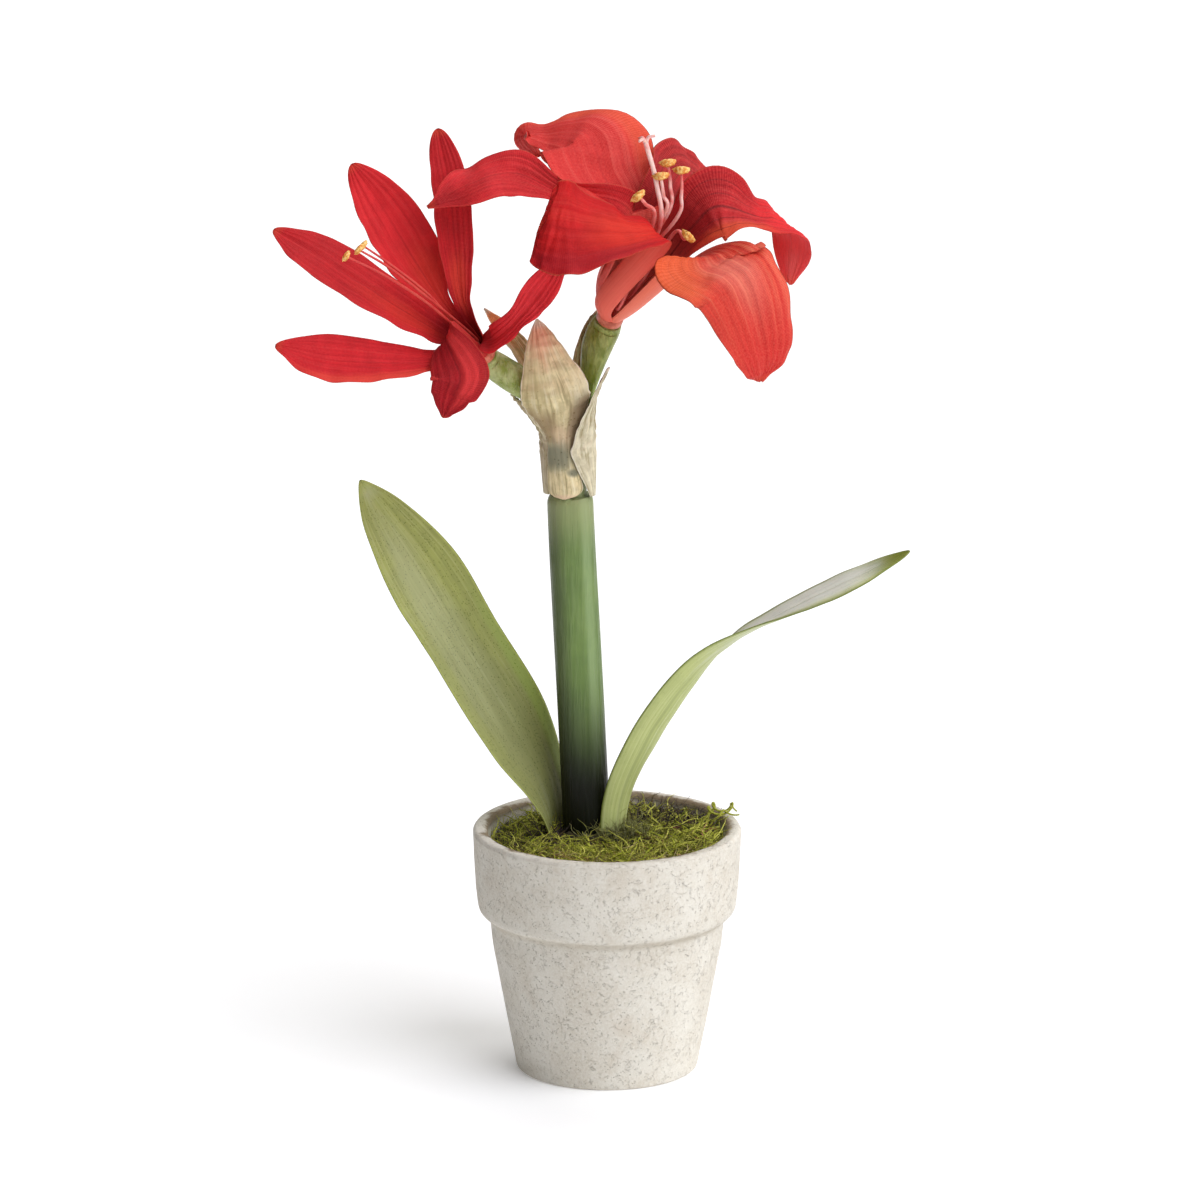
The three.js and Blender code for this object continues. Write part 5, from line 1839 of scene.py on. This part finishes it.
@dataclass(frozen=True)
class Studio:
    """A pale floor, soft lamps, a bright surround, and the camera with its target in metres."""

    target: Point = (-0.0026, 0.0, 0.1796)
    distance: float = 4.0
    elevation: float = 15.35
    lens: float = 324.78
    sensor: float = 36.0
    sees_to: float = 40.0
    tint: tuple[float, float, float, float] = (1.0, 0.975, 0.94, 1.0)
    dim_side: float = 0.02
    bright_side: float = 0.72
    lamps: tuple[Light, ...] = (
        Light("key", (0.76, -0.58, 1.0), 2.15, 58.0, (0.98, 1.0, 1.06)),
        Light("top", (0.1, 0.6, 1.2), 0.9, 40.0),
    )

    def build(self) -> None:
        """Makes the stage."""
        self.build_surround()
        for lamp in self.lamps:
            lamp.build()
        self.build_floor()
        self.build_camera()
        bpy.context.scene.view_settings.view_transform = "Standard"

    def build_surround(self) -> None:
        """Light from all round, brighter at the right."""
        world = bpy.data.worlds.new("surround")
        world.use_nodes = True
        graph = Graph(world.node_tree)
        way = graph.split(graph.add("ShaderNodeTexCoord")[0])[0]
        background = world.node_tree.nodes["Background"].inputs
        background["Color"].default_value = self.tint
        graph.feed(background["Strength"], graph.remap(way, -0.75, 1.0, self.dim_side, self.bright_side))
        bpy.context.scene.world = world

    def build_floor(self) -> None:
        """The floor, which isn't a piece of the part."""
        corners = FLOOR_REACH * np.array([[-1, -1, 0], [1, -1, 0], [1, 1, 0], [-1, 1, 0]])
        floor = bpy.data.objects.new("floor", mesh_from("floor", corners, [[0, 1, 2, 3]]))
        floor.data.materials.append(FloorFinish("floor").material())
        bpy.context.scene.collection.objects.link(floor)

    def build_camera(self) -> None:
        """The camera."""
        scene = bpy.context.scene
        camera = bpy.data.objects.new("camera", bpy.data.cameras.new("camera"))
        scene.collection.objects.link(camera)
        camera.data.lens, camera.data.sensor_width = self.lens, self.sensor
        camera.data.clip_end = self.sees_to
        tilt = math.radians(self.elevation)
        away = Vector((0, -math.cos(tilt), math.sin(tilt))) * self.distance
        camera.location = Vector(self.target) + away
        camera.rotation_euler = (math.pi / 2 - tilt, 0, 0)
        scene.camera = camera


def main() -> None:
    """Builds the part's looks."""
    logging.basicConfig(level=logging.INFO, format="%(name)s %(message)s")
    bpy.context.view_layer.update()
    Studio().build()
    Pot().build()
    paint_soil()
    MOSS.build()
    Stem().build()
    build_blades(LEAVES)
    build_blades(BRACTS)
    BLOOM_LEFT.build()
    BLOOM_RIGHT.build()


if __name__ == "__main__":
    main()
